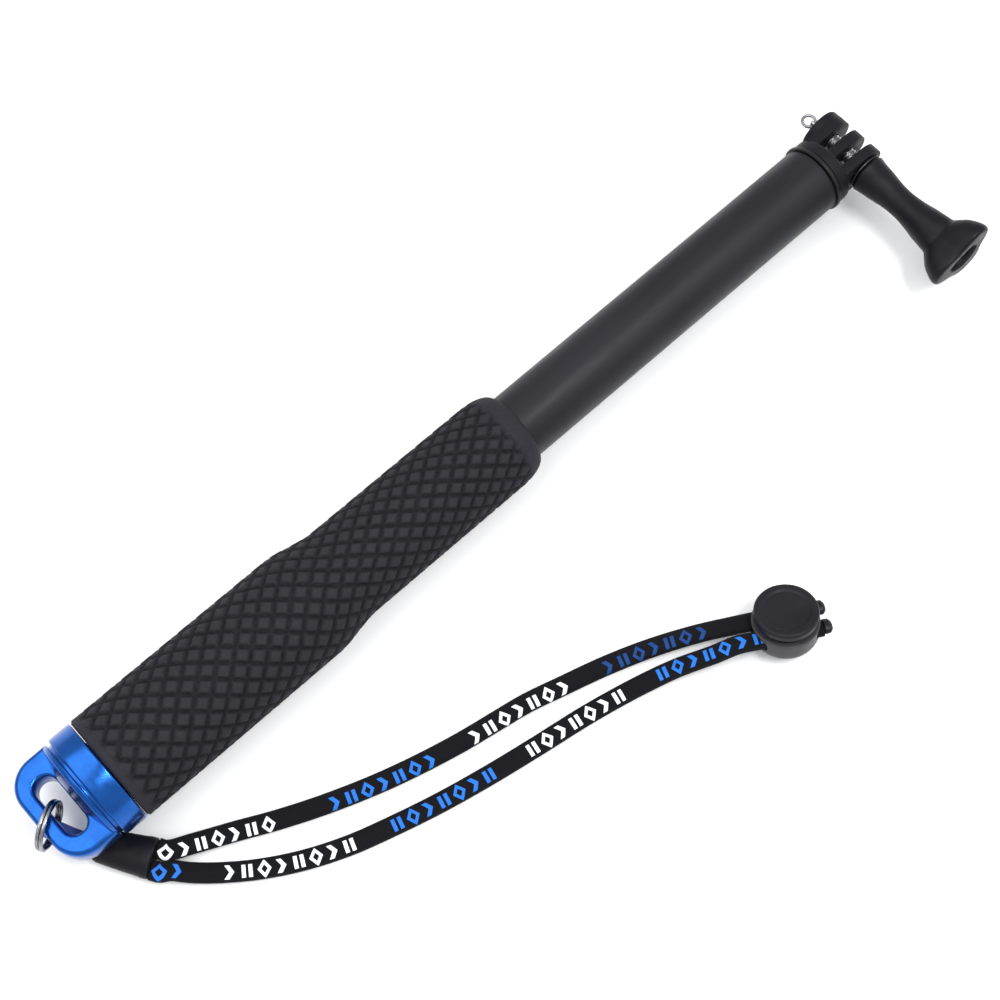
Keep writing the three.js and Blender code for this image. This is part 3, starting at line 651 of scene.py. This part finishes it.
# ---- build the strap ------------------------------------------------------------------------
UPPER_PRINTS = [
    (0, 7, PRINT_WHITE), (10, 17, PRINT_BLUE), (19, 26, PRINT_WHITE), (28, 35, PRINT_NAVY),
]
LOWER_PRINTS = [
    (0, 2, PRINT_BLUE), (4, 12, PRINT_WHITE), (14, 21, PRINT_BLUE), (23, 30, PRINT_WHITE),
    (32, 39, PRINT_BLUE),
]
upper = make_strand(
    "strap_strand_far", "strand_upper", "strand_tip_upper", UPPER_ROUTE, 1,
    printed_strap("printed_tape_far", UPPER_PRINTS, 0.9),
)
lower = make_strand(
    "strap_strand_near", "strand_lower", "strand_tip_lower", LOWER_ROUTE, -1,
    printed_strap("printed_tape_near", LOWER_PRINTS, 0.3),
)

black_moulding = grained_plastic("black_moulding", (0.006, 0.0055, 0.008), 0.5, shine=0.15)
tip_plastic = grained_plastic("tip_plastic", (0.006, 0.006, 0.007), 0.4, grain=0.15)
for side, node in ((1, "strand_tip_upper"), (-1, "strand_tip_lower")):
    points, faces = revolve(
        fillet([(0, 0), (0, 2.15), (1.5, 2.1), (2.2, 1.3), (2.2, 0)], [0, 0.35, 0.5, 0.3, 0]), 48
    )
    points = points * (1, 1, 0.7) + (TIP_START, side * STRAND_LOCK_OFFSET, CHANNEL_CENTRE)
    mesh = mesh_data(node + "_moulded", in_local(LOCK, points), faces)
    piece(node + "_moulded", mesh, "strap", tip_plastic, [node])


def make_ferrule():
    """A moulded sleeve, oval in section, with a lip at the strands' end and a mould seam."""
    profile = fillet(
        [(0, 0), (0, 3.7), (1.2, 4.15), (6, 4.6), (12.6, 5.08), (12.6, 5.19), (FERRULE_LENGTH, 5.19),
         (FERRULE_LENGTH, 0)],
        [0, 0.7, 0.6, 3, 0.1, 0.25, 0.6, 0],
    )
    points, faces = revolve(profile, 96)
    angle = np.arctan2(points[:, 2], points[:, 1])
    seam = 1 + 0.012 * np.exp(-((np.abs(np.cos(angle)) - 1) / 0.002) ** 2)
    points[:, 1:] *= seam[:, None]
    points *= (1, 1, 0.77)
    mesh = mesh_data("ferrule_moulded", in_local(FERRULE, points), faces)
    piece("ferrule_moulded", mesh, "strap", black_moulding, ["ferrule"])


make_ferrule()


BIGHT_WIDTH = 4.4
BIGHT_THICKNESS = 0.95
RING_RADIUS = 6


def make_bight():
    """Tape folded round the split ring, both its runs leading into the ferrule."""
    eye = np.array([0, -6.3])
    radius = 2.3
    tail_height = FERRULE["place"][2] + 0.2 - RING["place"][2]
    turn = np.radians(np.linspace(38, 268, 30))
    loop = eye + radius * np.stack([np.cos(turn), np.sin(turn)], axis=1)
    far = 10.2
    route = [(far, tail_height + 0.6), (7.4, tail_height + 0.8), (4.6, tail_height + 1.9)]
    route += [tuple(p) for p in loop]
    route += [(3.6, tail_height - 0.9), (7.0, tail_height - 0.62), (far, tail_height - 0.6)]
    flat = np.array([(x, 0, z) for x, z in route])
    centres, length = catmull_rom(in_local(RING, flat), 140)
    across = np.array(local_frame(RING))[:3, 1]
    tangents = np.gradient(centres, axis=0)
    ups = np.cross(np.broadcast_to(across, tangents.shape), tangents)
    section = flattened(20, BIGHT_WIDTH, BIGHT_THICKNESS, 0.35, 0.7)
    points, faces = tube_mesh(sweep(centres, section, ups))
    along = np.repeat(np.linspace(0, length / MM, len(centres)), len(section))
    side = np.tile(section[:, 0] / MM, len(centres))
    mesh = mesh_data("bight_tape", points, faces, 60, np.stack([along, side], axis=1))
    piece("bight_tape", mesh, "strap", woven("blue_tape", (0.02, 0.05, 0.25)), ["strap_bight"])


make_bight()


def make_split_ring():
    """Two turns of flat-sided wire that cross over in a short ramp."""
    turns = np.linspace(0.02, 1.98, 190)
    sideways = (eased(turns, 0.88, 0.24) - 0.5) * 1.02
    angle = turns * 2 * math.pi + math.radians(200)
    ups = RING_RADIUS * np.stack([0 * angle, np.cos(angle), np.sin(angle)], axis=1)
    local = ups + sideways[:, None] * (1, 0, 0)
    matrix = np.array(local_frame(RING))[:3, :3]
    section = flattened(16, 0.96, 1.0, 0.7, 0.8)
    points, faces = tube_mesh(sweep(in_local(RING, local), section, ups @ matrix.T))
    mesh = mesh_data("split_ring_wire", points, faces)
    piece("split_ring_wire", mesh, "strap", plated_steel("ring_steel", (0.3, 0.3, 0.31), 0.2),
          ["split_ring"])


make_split_ring()

# ---- cord lock ------------------------------------------------------------------------------
lock_plastic = grained_plastic("lock_plastic", (0.04, 0.039, 0.044), 0.42, grain=0.2, depth=0.05)
button_plastic = grained_plastic(
    "button_plastic", (0.01, 0.0095, 0.013), 0.45, grain=0.25, shine=0.16)
LOCK_BASE_TOP = 7.5
SLOT_BOTTOM = 3.3
SLOT_HALF_WIDTH = 5.9
SLOT_REACH = 20
SLOT_CORNER = 1.5


def slot_cutter(high):
    """The strands' rounded slot through the lock, up to a height, as a prism along X."""
    middle = (SLOT_BOTTOM + high) / 2
    half_height = (high - SLOT_BOTTOM) / 2
    outline = []
    for quarter in range(4):
        cy = (SLOT_HALF_WIDTH - SLOT_CORNER) * (1 if quarter in (0, 3) else -1)
        cz = middle + (half_height - SLOT_CORNER) * (1 if quarter in (0, 1) else -1)
        for degrees in range(quarter * 90, quarter * 90 + 91, 15):
            angle = math.radians(degrees)
            outline.append((cy + SLOT_CORNER * math.cos(angle), cz + SLOT_CORNER * math.sin(angle)))
    outline = np.array(outline)
    rings = np.stack([
        np.column_stack([np.full(len(outline), x), outline]) for x in (-SLOT_REACH, SLOT_REACH)
    ])
    points, faces = tube_mesh(rings)
    return scratch("slot", in_local(LOCK, points), faces)


def make_cord_lock():
    arc = [
        (LOCK_FOOT * (1 - math.cos(a)), LOCK_RADIUS - LOCK_FOOT * (1 - math.sin(a)))
        for a in np.linspace(0, math.pi / 2, 10)
    ]
    outer = fillet(
        [(LOCK_BASE_TOP, 7.2), (LOCK_BASE_TOP, LOCK_RADIUS), (LOCK_FOOT, LOCK_RADIUS)],
        [0, 0.45, 0],
    )
    profile = [(0, 0), *arc, *outer[::-1], (1.7, 7.2), (0.8, 6.6), (0.8, 0)]
    points, faces = revolve(profile, 96, "z")
    body = scratch("lock_body", in_local(LOCK, points), faces)
    mesh = combined("cord_lock_bowl", body, cuts=[slot_cutter(6.7)], edge=0.22)
    piece("cord_lock_bowl", mesh, "cord_lock", lock_plastic, ["cord_lock_body"])

    profile = fillet(
        [(2.7, 0), (2.7, 5.6), (3.6, 6.9), (9.5, 6.9), (9.5, 8.4), (11.7, 8.4), (11.75, 6.4),
         (11.35, 5.9), (11.75, 0)],
        [0, 0.3, 0.4, 0.2, 0.25, 1.1, 0.5, 0.6, 0],
        8,
    )
    points, faces = revolve(profile, 96, "z")
    plug = scratch("lock_plug", in_local(LOCK, points), faces)
    mesh = combined("cord_lock_plunger", plug, cuts=[slot_cutter(8.5)], edge=0.15)
    piece("cord_lock_plunger", mesh, "lock_button", button_plastic, ["cord_lock_button"])


make_cord_lock()

# ---- grip -----------------------------------------------------------------------------------
KNURL_STARTS = 17
KNURL_PITCH = 5.9
KNURL_DEPTH = 0.55
KNURL_START, KNURL_END = 1.8, 129.5
GRIP_LENGTH = 134
GRIP_NOSE = 8
GRIP_BORE = 9.65
GRIP_REAR_RADIUS, GRIP_FRONT_RADIUS = 15, 12.95
HIP_START, HIP_LENGTH = 61, 15
NOSE_START = GRIP_LENGTH - GRIP_NOSE


def grip_radius(x):
    """Outer radius of the grip at a place along it."""
    hip = np.clip((x - HIP_START) / HIP_LENGTH, 0, 1)
    step = GRIP_REAR_RADIUS - GRIP_FRONT_RADIUS
    radius = GRIP_REAR_RADIUS - step * (1 - np.cos(math.pi * hip)) / 2
    nose = np.clip((x - NOSE_START) / GRIP_NOSE, 0, 1)
    return radius - 3 * (1 - np.sqrt(np.clip(1 - nose * nose, 0, 1)))


def make_grip():
    sides = KNURL_STARTS * 14
    xs = np.concatenate([
        np.arange(0.6, NOSE_START, 0.42),
        NOSE_START + GRIP_NOSE * np.sin(np.radians(range(3, 91, 3))),
    ])
    theta = np.arange(sides) * 2 * math.pi / sides
    grid_x, grid_t = np.meshgrid(xs, theta, indexing="ij")
    phase = 2 * math.pi * grid_x / KNURL_PITCH
    ridge = 1.0
    for sign in (1, -1):
        wave = (1 + np.cos(KNURL_STARTS * grid_t + sign * phase)) / 2
        ridge = np.minimum(ridge, np.clip(wave / 0.45, 0, 1))
    ridge = eased(ridge)
    fade = (np.clip((grid_x - KNURL_START) / 1.5, 0, 1)
            * np.clip((KNURL_END - grid_x) / 2.0, 0, 1))
    radius = grip_radius(grid_x) - KNURL_DEPTH * (1 - ridge) * fade
    relief = 1 - (1 - ridge) * fade
    bore = np.full(sides, GRIP_BORE)
    rings = [bore, np.full(sides, 14.3), *radius, bore]
    places = [0, 0, *xs, GRIP_LENGTH]
    reliefs = [np.ones(sides), np.ones(sides), *relief, np.ones(sides)]
    rings, reliefs = np.array(rings), np.array(reliefs)
    points = np.stack([
        np.repeat(np.array(places)[:, None], sides, axis=1), rings * np.cos(theta),
        rings * np.sin(theta),
    ], axis=-1).reshape(-1, 3)
    faces = grid_faces(len(places), sides, wrap_rows=True)
    mesh = mesh_data("grip_knurled", to_row(points), faces, 75)
    layer = mesh.attributes.new("relief", "FLOAT", "POINT")
    layer.data.foreach_set("value", reliefs.ravel())
    piece("grip_knurled", mesh, "handle", knurled_rubber("grip_rubber"), ["grip_sleeve"])


make_grip()

# ---- end cap --------------------------------------------------------------------------------
cap_blue = anodised("cap_blue", (0.012, 0.088, 0.36), 0.22)
LOOP_HALF_WIDTH = 14.5
LOOP_TAIL = -21.4
LOOP_HALF_THICKNESS = 3.5
LOOP_FRONT = -7.9
LOOP_CORNER = 8.2
LOOP_HOLE_CENTRE = (-14.1, 0)
LOOP_HOLE_LENGTH, LOOP_HOLE_WIDTH = 17, 6
OUTLINE_SAMPLES = 240


def rounded_outline(low_x, high_x, half_width, tail_corner):
    """Evenly sampled outline of a plate with two round tail corners, as [x, y]."""
    corners = []
    for centre_y, start in ((half_width - tail_corner, 90), (-half_width + tail_corner, 180)):
        for angle in np.radians(start + np.arange(0, 91, 5)):
            corners.append((
                low_x + tail_corner + tail_corner * math.cos(angle),
                centre_y + tail_corner * math.sin(angle),
            ))
    outline = [(high_x, half_width), *corners, (high_x, -half_width), (high_x, half_width)]
    return resampled(outline, OUTLINE_SAMPLES)


def resampled(outline, count):
    """Evenly spaced points along an outline."""
    outline = np.array(outline, float)
    walked = np.concatenate([[0], np.cumsum(np.linalg.norm(np.diff(outline, axis=0), axis=1))])
    even = np.linspace(0, walked[-1], count, endpoint=False)
    return np.stack([np.interp(even, walked, outline[:, k]) for k in range(2)], axis=1)


def slot_outline(centre_x, length, width):
    """Evenly sampled outline of a slot with round ends, lying across the pole."""
    radius, reach = width / 2, length / 2 - width / 2
    outline = [
        (centre_x + radius * math.cos(a), reach + radius * math.sin(a))
        for a in np.radians(np.arange(0, 181, 6))
    ] + [
        (centre_x + radius * math.cos(a), -reach + radius * math.sin(a))
        for a in np.radians(np.arange(180, 361, 6))
    ]
    outline.append(outline[0])
    return resampled(outline, OUTLINE_SAMPLES)


def by_angle(outline, centre, count):
    """The outline's points at even angles about a centre, so that two outlines can be matched."""
    outline = np.vstack([outline, outline[:1]])
    dense = []
    for a, b in zip(outline[:-1], outline[1:]):
        dense += [a + (b - a) * t for t in np.linspace(0, 1, 12, endpoint=False)]
    dense = np.array(dense)
    angles = np.unwrap(np.arctan2(dense[:, 1] - centre[1], dense[:, 0] - centre[0]))
    order = np.argsort(np.mod(angles, 2 * math.pi))
    angles, dense = np.mod(angles, 2 * math.pi)[order], dense[order]
    wanted = np.arange(count) * 2 * math.pi / count
    return np.stack([
        np.interp(wanted, angles, dense[:, k], period=2 * math.pi) for k in range(2)
    ], axis=1)


def make_loop_plate():
    """The cap's loop: a plate with a slotted hole, all its edges rounded."""
    count = 144
    outer_edge, inner_edge = 1.5, 1.1
    rings = []
    for a in np.radians(np.arange(-90, 91, 15)):
        inset = outer_edge * (1 - math.cos(a))
        height = (LOOP_HALF_THICKNESS - outer_edge) * np.sign(a) + outer_edge * math.sin(a)
        outline = rounded_outline(
            LOOP_TAIL + inset, LOOP_FRONT, LOOP_HALF_WIDTH - inset, LOOP_CORNER - inset)
        rings.append((by_angle(outline, LOOP_HOLE_CENTRE, count), height))
    for a in np.radians(np.arange(90, -91, -15)):
        grow = inner_edge * (1 - math.cos(a))
        height = (LOOP_HALF_THICKNESS - inner_edge) * np.sign(a) + inner_edge * math.sin(a)
        outline = slot_outline(
            LOOP_HOLE_CENTRE[0], LOOP_HOLE_LENGTH + 2 * grow, LOOP_HOLE_WIDTH + 2 * grow)
        rings.append((by_angle(outline, LOOP_HOLE_CENTRE, count), height))
    points = np.vstack([
        np.column_stack([ring, np.full(count, height)]) for ring, height in rings
    ])
    return points, grid_faces(len(rings), count, wrap_rows=True)


def make_end_cap():
    profile = fillet(
        [(-4.6, 0), (-4.6, 3.15), (4, 3.15), (4, 8.55), (-0.3, 8.55), (-0.3, 14.9), (-6.7, 14.9),
         (-6.7, 13.6), (-7.7, 13.6), (-7.7, 14.5), (-9.0, 13.9), (-10.7, 7), (-10.7, 0)],
        [0, 0, 0.2, 0.3, 0.15, 0.55, 0.55, 0.25, 0.25, 0.35, 0.9, 1.2, 0],
        6,
    )
    points, faces = revolve(profile, 128)
    disc = mesh_data("cap_disc", to_row(points), faces, 50)
    piece("cap_disc", disc, "handle", cap_blue, ["end_cap"])
    points, faces = make_loop_plate()
    plate = mesh_data("cap_loop", to_row(points), faces, 50)
    piece("cap_loop", plate, "handle", cap_blue, ["end_cap"])


make_end_cap()

# ---- tubes and bushings ---------------------------------------------------------------------
TUBE_RADII = (9.5, 7.8, 6.1, 4.4)
WALL = 0.8
TUBE_EDGE = 0.25
TUBE_END = 245
BUSHING_START = 237
tube_paint = painted_tube("tube_paint")
bushing_plastic = grained_plastic("bushing_plastic", (0.007, 0.007, 0.008), 0.4, grain=0.12)
BODIES = ("handle", "section_2", "section_3", "section_4")


def make_tube(section):
    node = "outer_tube" if section == 0 else f"tube_{section + 1}"
    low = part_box(node)[0].x / MM - ON_AXIS.x / MM
    radius, bore = TUBE_RADII[section], TUBE_RADII[section] - WALL
    profile = fillet(
        [(low, bore), (low, radius), (TUBE_END, radius), (TUBE_END, bore), (low, bore)],
        [0, TUBE_EDGE, TUBE_EDGE, TUBE_EDGE, 0], 4,
    )
    xs = np.linspace(low + 1, TUBE_END - 1, 24)
    run = [(x, radius) for x in xs]
    split = int(np.argmax(profile[:, 0] > TUBE_END / 2))
    profile = np.vstack([profile[:split], run, profile[split:]])
    points, faces = revolve(profile, 128)
    mesh = mesh_data(node + "_painted", to_row(points), faces)
    piece(node + "_painted", mesh, BODIES[section], tube_paint, [node])


def make_bushing(section):
    inner = TUBE_RADII[section + 1] + 0.2
    outer = TUBE_RADII[section] - WALL - 0.15
    flange = 10.15 if section == 0 else TUBE_RADII[section]
    start = TUBE_END + GAP
    profile = fillet(
        [(BUSHING_START, inner), (BUSHING_START, outer), (start, outer), (start, flange),
         (start + 1.2, flange), (start + 1.2, inner), (BUSHING_START, inner)],
        [0, 0.2, 0.1, 0.2, 0.4, 0.2, 0], 4,
    )
    points, faces = revolve(profile, 128)
    name = f"mouth_ring_{section + 1}"
    mesh = mesh_data(name, to_row(points), faces)
    piece(name, mesh, BODIES[section], bushing_plastic, [f"mouth_bushing_{section + 1}"])


for section in range(len(TUBE_RADII)):
    make_tube(section)
for section in range(len(TUBE_RADII) - 1):
    make_bushing(section)

# ---- camera mount ---------------------------------------------------------------------------
mount_plastic = grained_plastic(
    "mount_plastic", (0.007, 0.0065, 0.009), 0.5, grain=0.4, depth=0.08, shine=0.13)
COLLAR_START = 246.8
COLLAR_END = 250.3
HOLE_X = 258.1
PRONG_RADIUS = 6.6
PRONG_PITCH = 6
PRONG_HALF_THICKNESS = 1.5
WEB_OVERLAP = 0.6
BLOCK_HALF_WIDTH = PRONG_PITCH + PRONG_HALF_THICKNESS
BOSS_RADIUS = PRONG_RADIUS - 0.1
BOSS_END = 10.2
SCREW_HOLE_RADIUS = 2.7
NUT_POCKET_START = 6.5
NUT_POCKET_RADIUS = 8.3 / math.sqrt(3)


def prong_points(middle):
    """A plate with a round end about the screw hole, PRONG_HALF_THICKNESS to each side of middle."""
    outline = [(COLLAR_END - WEB_OVERLAP, -PRONG_RADIUS)] + [
        (HOLE_X + PRONG_RADIUS * math.cos(a), PRONG_RADIUS * math.sin(a))
        for a in np.radians(np.arange(-90, 91, 5))
    ] + [(COLLAR_END - WEB_OVERLAP, PRONG_RADIUS)]
    outline = np.array(outline)
    rings = np.stack([
        np.column_stack([outline[:, 0], np.full(len(outline), y), outline[:, 1]])
        for y in (middle - PRONG_HALF_THICKNESS, middle + PRONG_HALF_THICKNESS)
    ])
    return tube_mesh(rings)


def make_mount():
    def helper(name, made):
        return scratch(name, to_row(made[0]), made[1])

    profile = fillet(
        [(COLLAR_START - 14, 0), (COLLAR_START - 14, 3.45), (COLLAR_START, 3.45),
         (COLLAR_START, 9.7), (COLLAR_END, 9.7), (COLLAR_END, 0)],
        [0, 0.3, 0.2, 0.3, 1.1, 0], 5,
    )
    base = helper("collar", revolve(profile, 96))
    joins = [
        helper("web", box_points(
            (COLLAR_END - WEB_OVERLAP, -BLOCK_HALF_WIDTH, -PRONG_RADIUS),
            (COLLAR_END + WEB_OVERLAP, BLOCK_HALF_WIDTH, PRONG_RADIUS))),
        helper("prong_near", prong_points(-PRONG_PITCH)),
        helper("prong_mid", prong_points(0)),
        helper("prong_far", prong_points(PRONG_PITCH)),
        helper("boss", revolve(
            fillet([(PRONG_PITCH, 0), (PRONG_PITCH, BOSS_RADIUS), (BOSS_END, BOSS_RADIUS),
                    (BOSS_END, 0)], [0, 0, 1.0, 0], 5),
            96, "y", (HOLE_X, 0, 0))),
    ]
    cuts = [
        helper("hole", revolve(rod(-20, 20, SCREW_HOLE_RADIUS), 48, "y", (HOLE_X, 0, 0))),
        helper("pocket", revolve(
            rod(NUT_POCKET_START, 20, NUT_POCKET_RADIUS), 6, "y", (HOLE_X, 0, 0))),
    ]
    mesh = combined("mount_moulded", base, joins, cuts, edge=0.28)
    piece("mount_moulded", mesh, "section_4", mount_plastic, ["camera_mount"])


make_mount()

# ---- thumbscrew -----------------------------------------------------------------------------
knob_plastic = grained_plastic(
    "knob_plastic", (0.006, 0.0055, 0.008), 0.42, grain=0.4, depth=0.08, shine=0.14)
fitting_steel = plated_steel("fitting_steel", (0.48, 0.48, 0.5), 0.35)
KNOB_START = -8.7
KNOB_LENGTH = 36.4
KNOB_PROFILE = [
    (0, 5.2), (0.5, 5.6), (2.6, 5.2), (6, 4.75), (10, 4.15), (14, 4.0), (18, 4.4), (22, 5.15),
    (25.5, 5.75), (27.3, 6.2), (28.8, 7.6), (30.6, 9.2), (32.6, 10.3), (34.6, 11.05),
    (35.7, 11.05), (36.2, 10.7), (KNOB_LENGTH, 10.1),
]
LOBE_ANGLE = 58
LOBE_COUNT = 3
LOBE_VALLEY = 0.32
FLARE_START, FLARE_LENGTH = 20, 12
THREAD_PITCH = 0.8
THREAD_START, THREAD_END = -34.0, 10.0
THREAD_ROOT = 2.1
THREAD_DEPTH = 0.4
TAPER_RADIUS = 2.0
EYE_Y = 11.7
EYE_RADIUS = 0.62
TAB_HALF = (0.45, 1.3)


def make_knob():
    """A waisted handle that flares into three rounded lobes round a hollow end."""
    body = np.array([(s, 0, r) for s, r in KNOB_PROFILE[1:-1]], float)
    smooth, _ = catmull_rom(body, 90)
    outside = [(0, 0), (0, 2.65), (0, 5.2), *[(p[0], p[2]) for p in smooth]]
    inside = fillet(
        [KNOB_PROFILE[-1], (KNOB_LENGTH, 5.4), (35.6, 4.5), (32.2, 4.1), (32.2, 0)],
        [0, 0.4, 0.8, 0.5, 0], 5,
    )
    profile = np.array([*outside, *inside])

    def lobed(points):
        s, y, z = points.T
        radius = np.hypot(y, z)
        strength = eased(s, FLARE_START, FLARE_LENGTH) * np.clip((radius - 4.4) / 2.2, 0, 1)
        angle = np.arctan2(z, -y) - math.radians(LOBE_ANGLE)
        wave = (1 - np.cos(LOBE_COUNT * angle)) / 2
        size = 1 - LOBE_VALLEY * strength * wave
        return np.column_stack([s, y * size, z * size])

    points, faces = revolve(profile, 144, "x", reshape=lobed)
    turned = np.column_stack([-points[:, 1] + HOLE_X, KNOB_START - points[:, 0], points[:, 2]])
    mesh = mesh_data("knob_moulded", to_row(turned), faces, 50)
    piece("knob_moulded", mesh, "thumbscrew", knob_plastic, ["thumb_knob"])


make_knob()


def make_screw():
    """The clamp screw: a rolled thread, and a flat tab with an eye for the tether ring."""
    sides = 48
    ys = np.arange(THREAD_START, THREAD_END + 0.01, 0.1)
    theta = np.arange(sides) * 2 * math.pi / sides
    grid_y, grid_t = np.meshgrid(ys, theta, indexing="ij")
    phase = np.mod(grid_y / THREAD_PITCH + grid_t / (2 * math.pi), 1)
    ridge = 1 - np.abs(phase - 0.5) * 2
    radius = THREAD_ROOT + THREAD_DEPTH * np.clip(ridge * 1.4 - 0.2, 0, 1)
    taper = np.clip((THREAD_END + 0.4 - grid_y) / 0.8, 0, 1)
    radius = TAPER_RADIUS + (radius - TAPER_RADIUS) * taper
    points = np.stack([
        HOLE_X + radius * np.cos(theta), grid_y, radius * np.sin(theta)
    ], axis=-1)
    points, faces = tube_mesh(points)
    mesh = mesh_data("screw_thread", to_row(points), faces, 50)
    piece("screw_thread", mesh, "thumbscrew", fitting_steel, ["clamp_screw"])

    half_thick, half_high = TAB_HALF
    points, faces = box_points(
        (HOLE_X - half_thick, 9.4, -half_high), (HOLE_X + half_thick, 12.7, half_high))
    tab = scratch("tab", to_row(points), faces)
    points, faces = revolve(rod(-5, 5, EYE_RADIUS), 24, "x", (HOLE_X, EYE_Y, 0))
    eye = scratch("eye", to_row(points), faces)
    mesh = combined("screw_eye_tab", tab, cuts=[eye], edge=0.3)
    piece("screw_eye_tab", mesh, "thumbscrew", fitting_steel, ["clamp_screw"])


make_screw()


def torus(name, centre, radius, wire, body, material, node):
    """A ring of round wire lying level."""
    angle = np.linspace(0, 2 * math.pi, 72, endpoint=False)
    centres = to_row(np.stack([
        centre[0] + radius * np.cos(angle), centre[1] + radius * np.sin(angle),
        np.full(len(angle), centre[2]),
    ], axis=1))
    cos, sin = circle(14)
    section = np.stack([cos, sin], axis=1) * wire * MM
    ups = np.tile([0, 0, 1.0], (len(angle), 1))
    points, faces = tube_mesh(sweep(centres, section, ups, closed=True), closed=True)
    mesh = mesh_data(name, points, faces, 60)
    piece(name, mesh, body, material, [node])


torus("tether_ring_wire", (HOLE_X, 13.5, 0), 1.85, 0.46, "tether",
      plated_steel("tether_steel", (0.3, 0.3, 0.32), 0.35), "tether_ring")

points, faces = revolve(
    fillet([(-8.4, 2.75), (-8.4, 5.4), (-7.8, 5.4), (-7.8, 2.75), (-8.4, 2.75)],
           [0, 0.15, 0.15, 0.1, 0], 3),
    72, "y", (HOLE_X, 0, 0),
)
piece("washer_turned", mesh_data("washer_turned", to_row(points), faces), "washer",
      plated_steel("blackened_steel", (0.06, 0.06, 0.065), 0.4), ["thrust_washer"])

# ---- CAD nodes that stay --------------------------------------------------------------------
nylon = grained_plastic("natural_nylon", (0.72, 0.71, 0.66), 0.45, grain=0.15, shine=0.5)
KEPT = {
    "cap_stud": fitting_steel, "mount_pin": fitting_steel, "lock_nut": fitting_steel,
    "cord_lock_spring": fitting_steel, "tail_plug": nylon,
    "collet_2": nylon, "collet_3": nylon, "collet_4": nylon,
    "cone_plug_2": bushing_plastic, "cone_plug_3": bushing_plastic, "cone_plug_4": bushing_plastic,
}
for node, look in KEPT.items():
    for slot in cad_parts[node].material_slots:
        slot.material = look

# ---- floor, light ---------------------------------------------------------------------------
FLOOR_REACH = 20.0


def make_floor():
    mesh = bpy.data.meshes.new("floor")
    corners = [(FLOOR_REACH * x, FLOOR_REACH * y, 0)
               for x, y in ((-1, -1), (1, -1), (1, 1), (-1, 1))]
    mesh.from_pydata(corners, [], [(0, 1, 2, 3)])
    floor = bpy.data.objects.new("floor", mesh)
    bpy.context.scene.collection.objects.link(floor)
    look = Look("floor", (0.9, 0.9, 0.9), 0.6)
    look.vary_color(look.noise(0.002, detail=2), 0.99, 1.01)
    mesh.materials.append(look.material)


def area_light(name, place, target, size, power):
    data = bpy.data.lights.new(name, "AREA")
    data.shape = "RECTANGLE"
    data.size, data.size_y = size
    data.energy = power
    light = bpy.data.objects.new(name, data)
    bpy.context.scene.collection.objects.link(light)
    light.location = place
    light.rotation_mode = "QUATERNION"
    light.rotation_quaternion = (Vector(target) - Vector(place)).to_track_quat("-Z", "Y")


def make_light():
    world = bpy.data.worlds.new("studio")
    bpy.context.scene.world = world
    world.use_nodes = True
    background = world.node_tree.nodes["Background"]
    background.inputs["Color"].default_value = (0.97, 0.985, 1.0, 1)
    background.inputs["Strength"].default_value = 0.82
    area_light("key", (-0.35, 0.35, 1.0), (0, -0.02, 0), (1.2, 0.9), 7.5)
    area_light("fill", (0.5, -0.5, 0.9), (0, -0.02, 0), (1.0, 1.0), 3)
    area_light("strip", (0.115, -0.31, 0.92), (-0.125, 0.01, 0.02), (0.3, 0.14), 4.5)
    view = bpy.context.scene.view_settings
    view.view_transform = "Standard"
    view.exposure = 0.0


make_floor()
make_light()

bpy.context.view_layer.update()
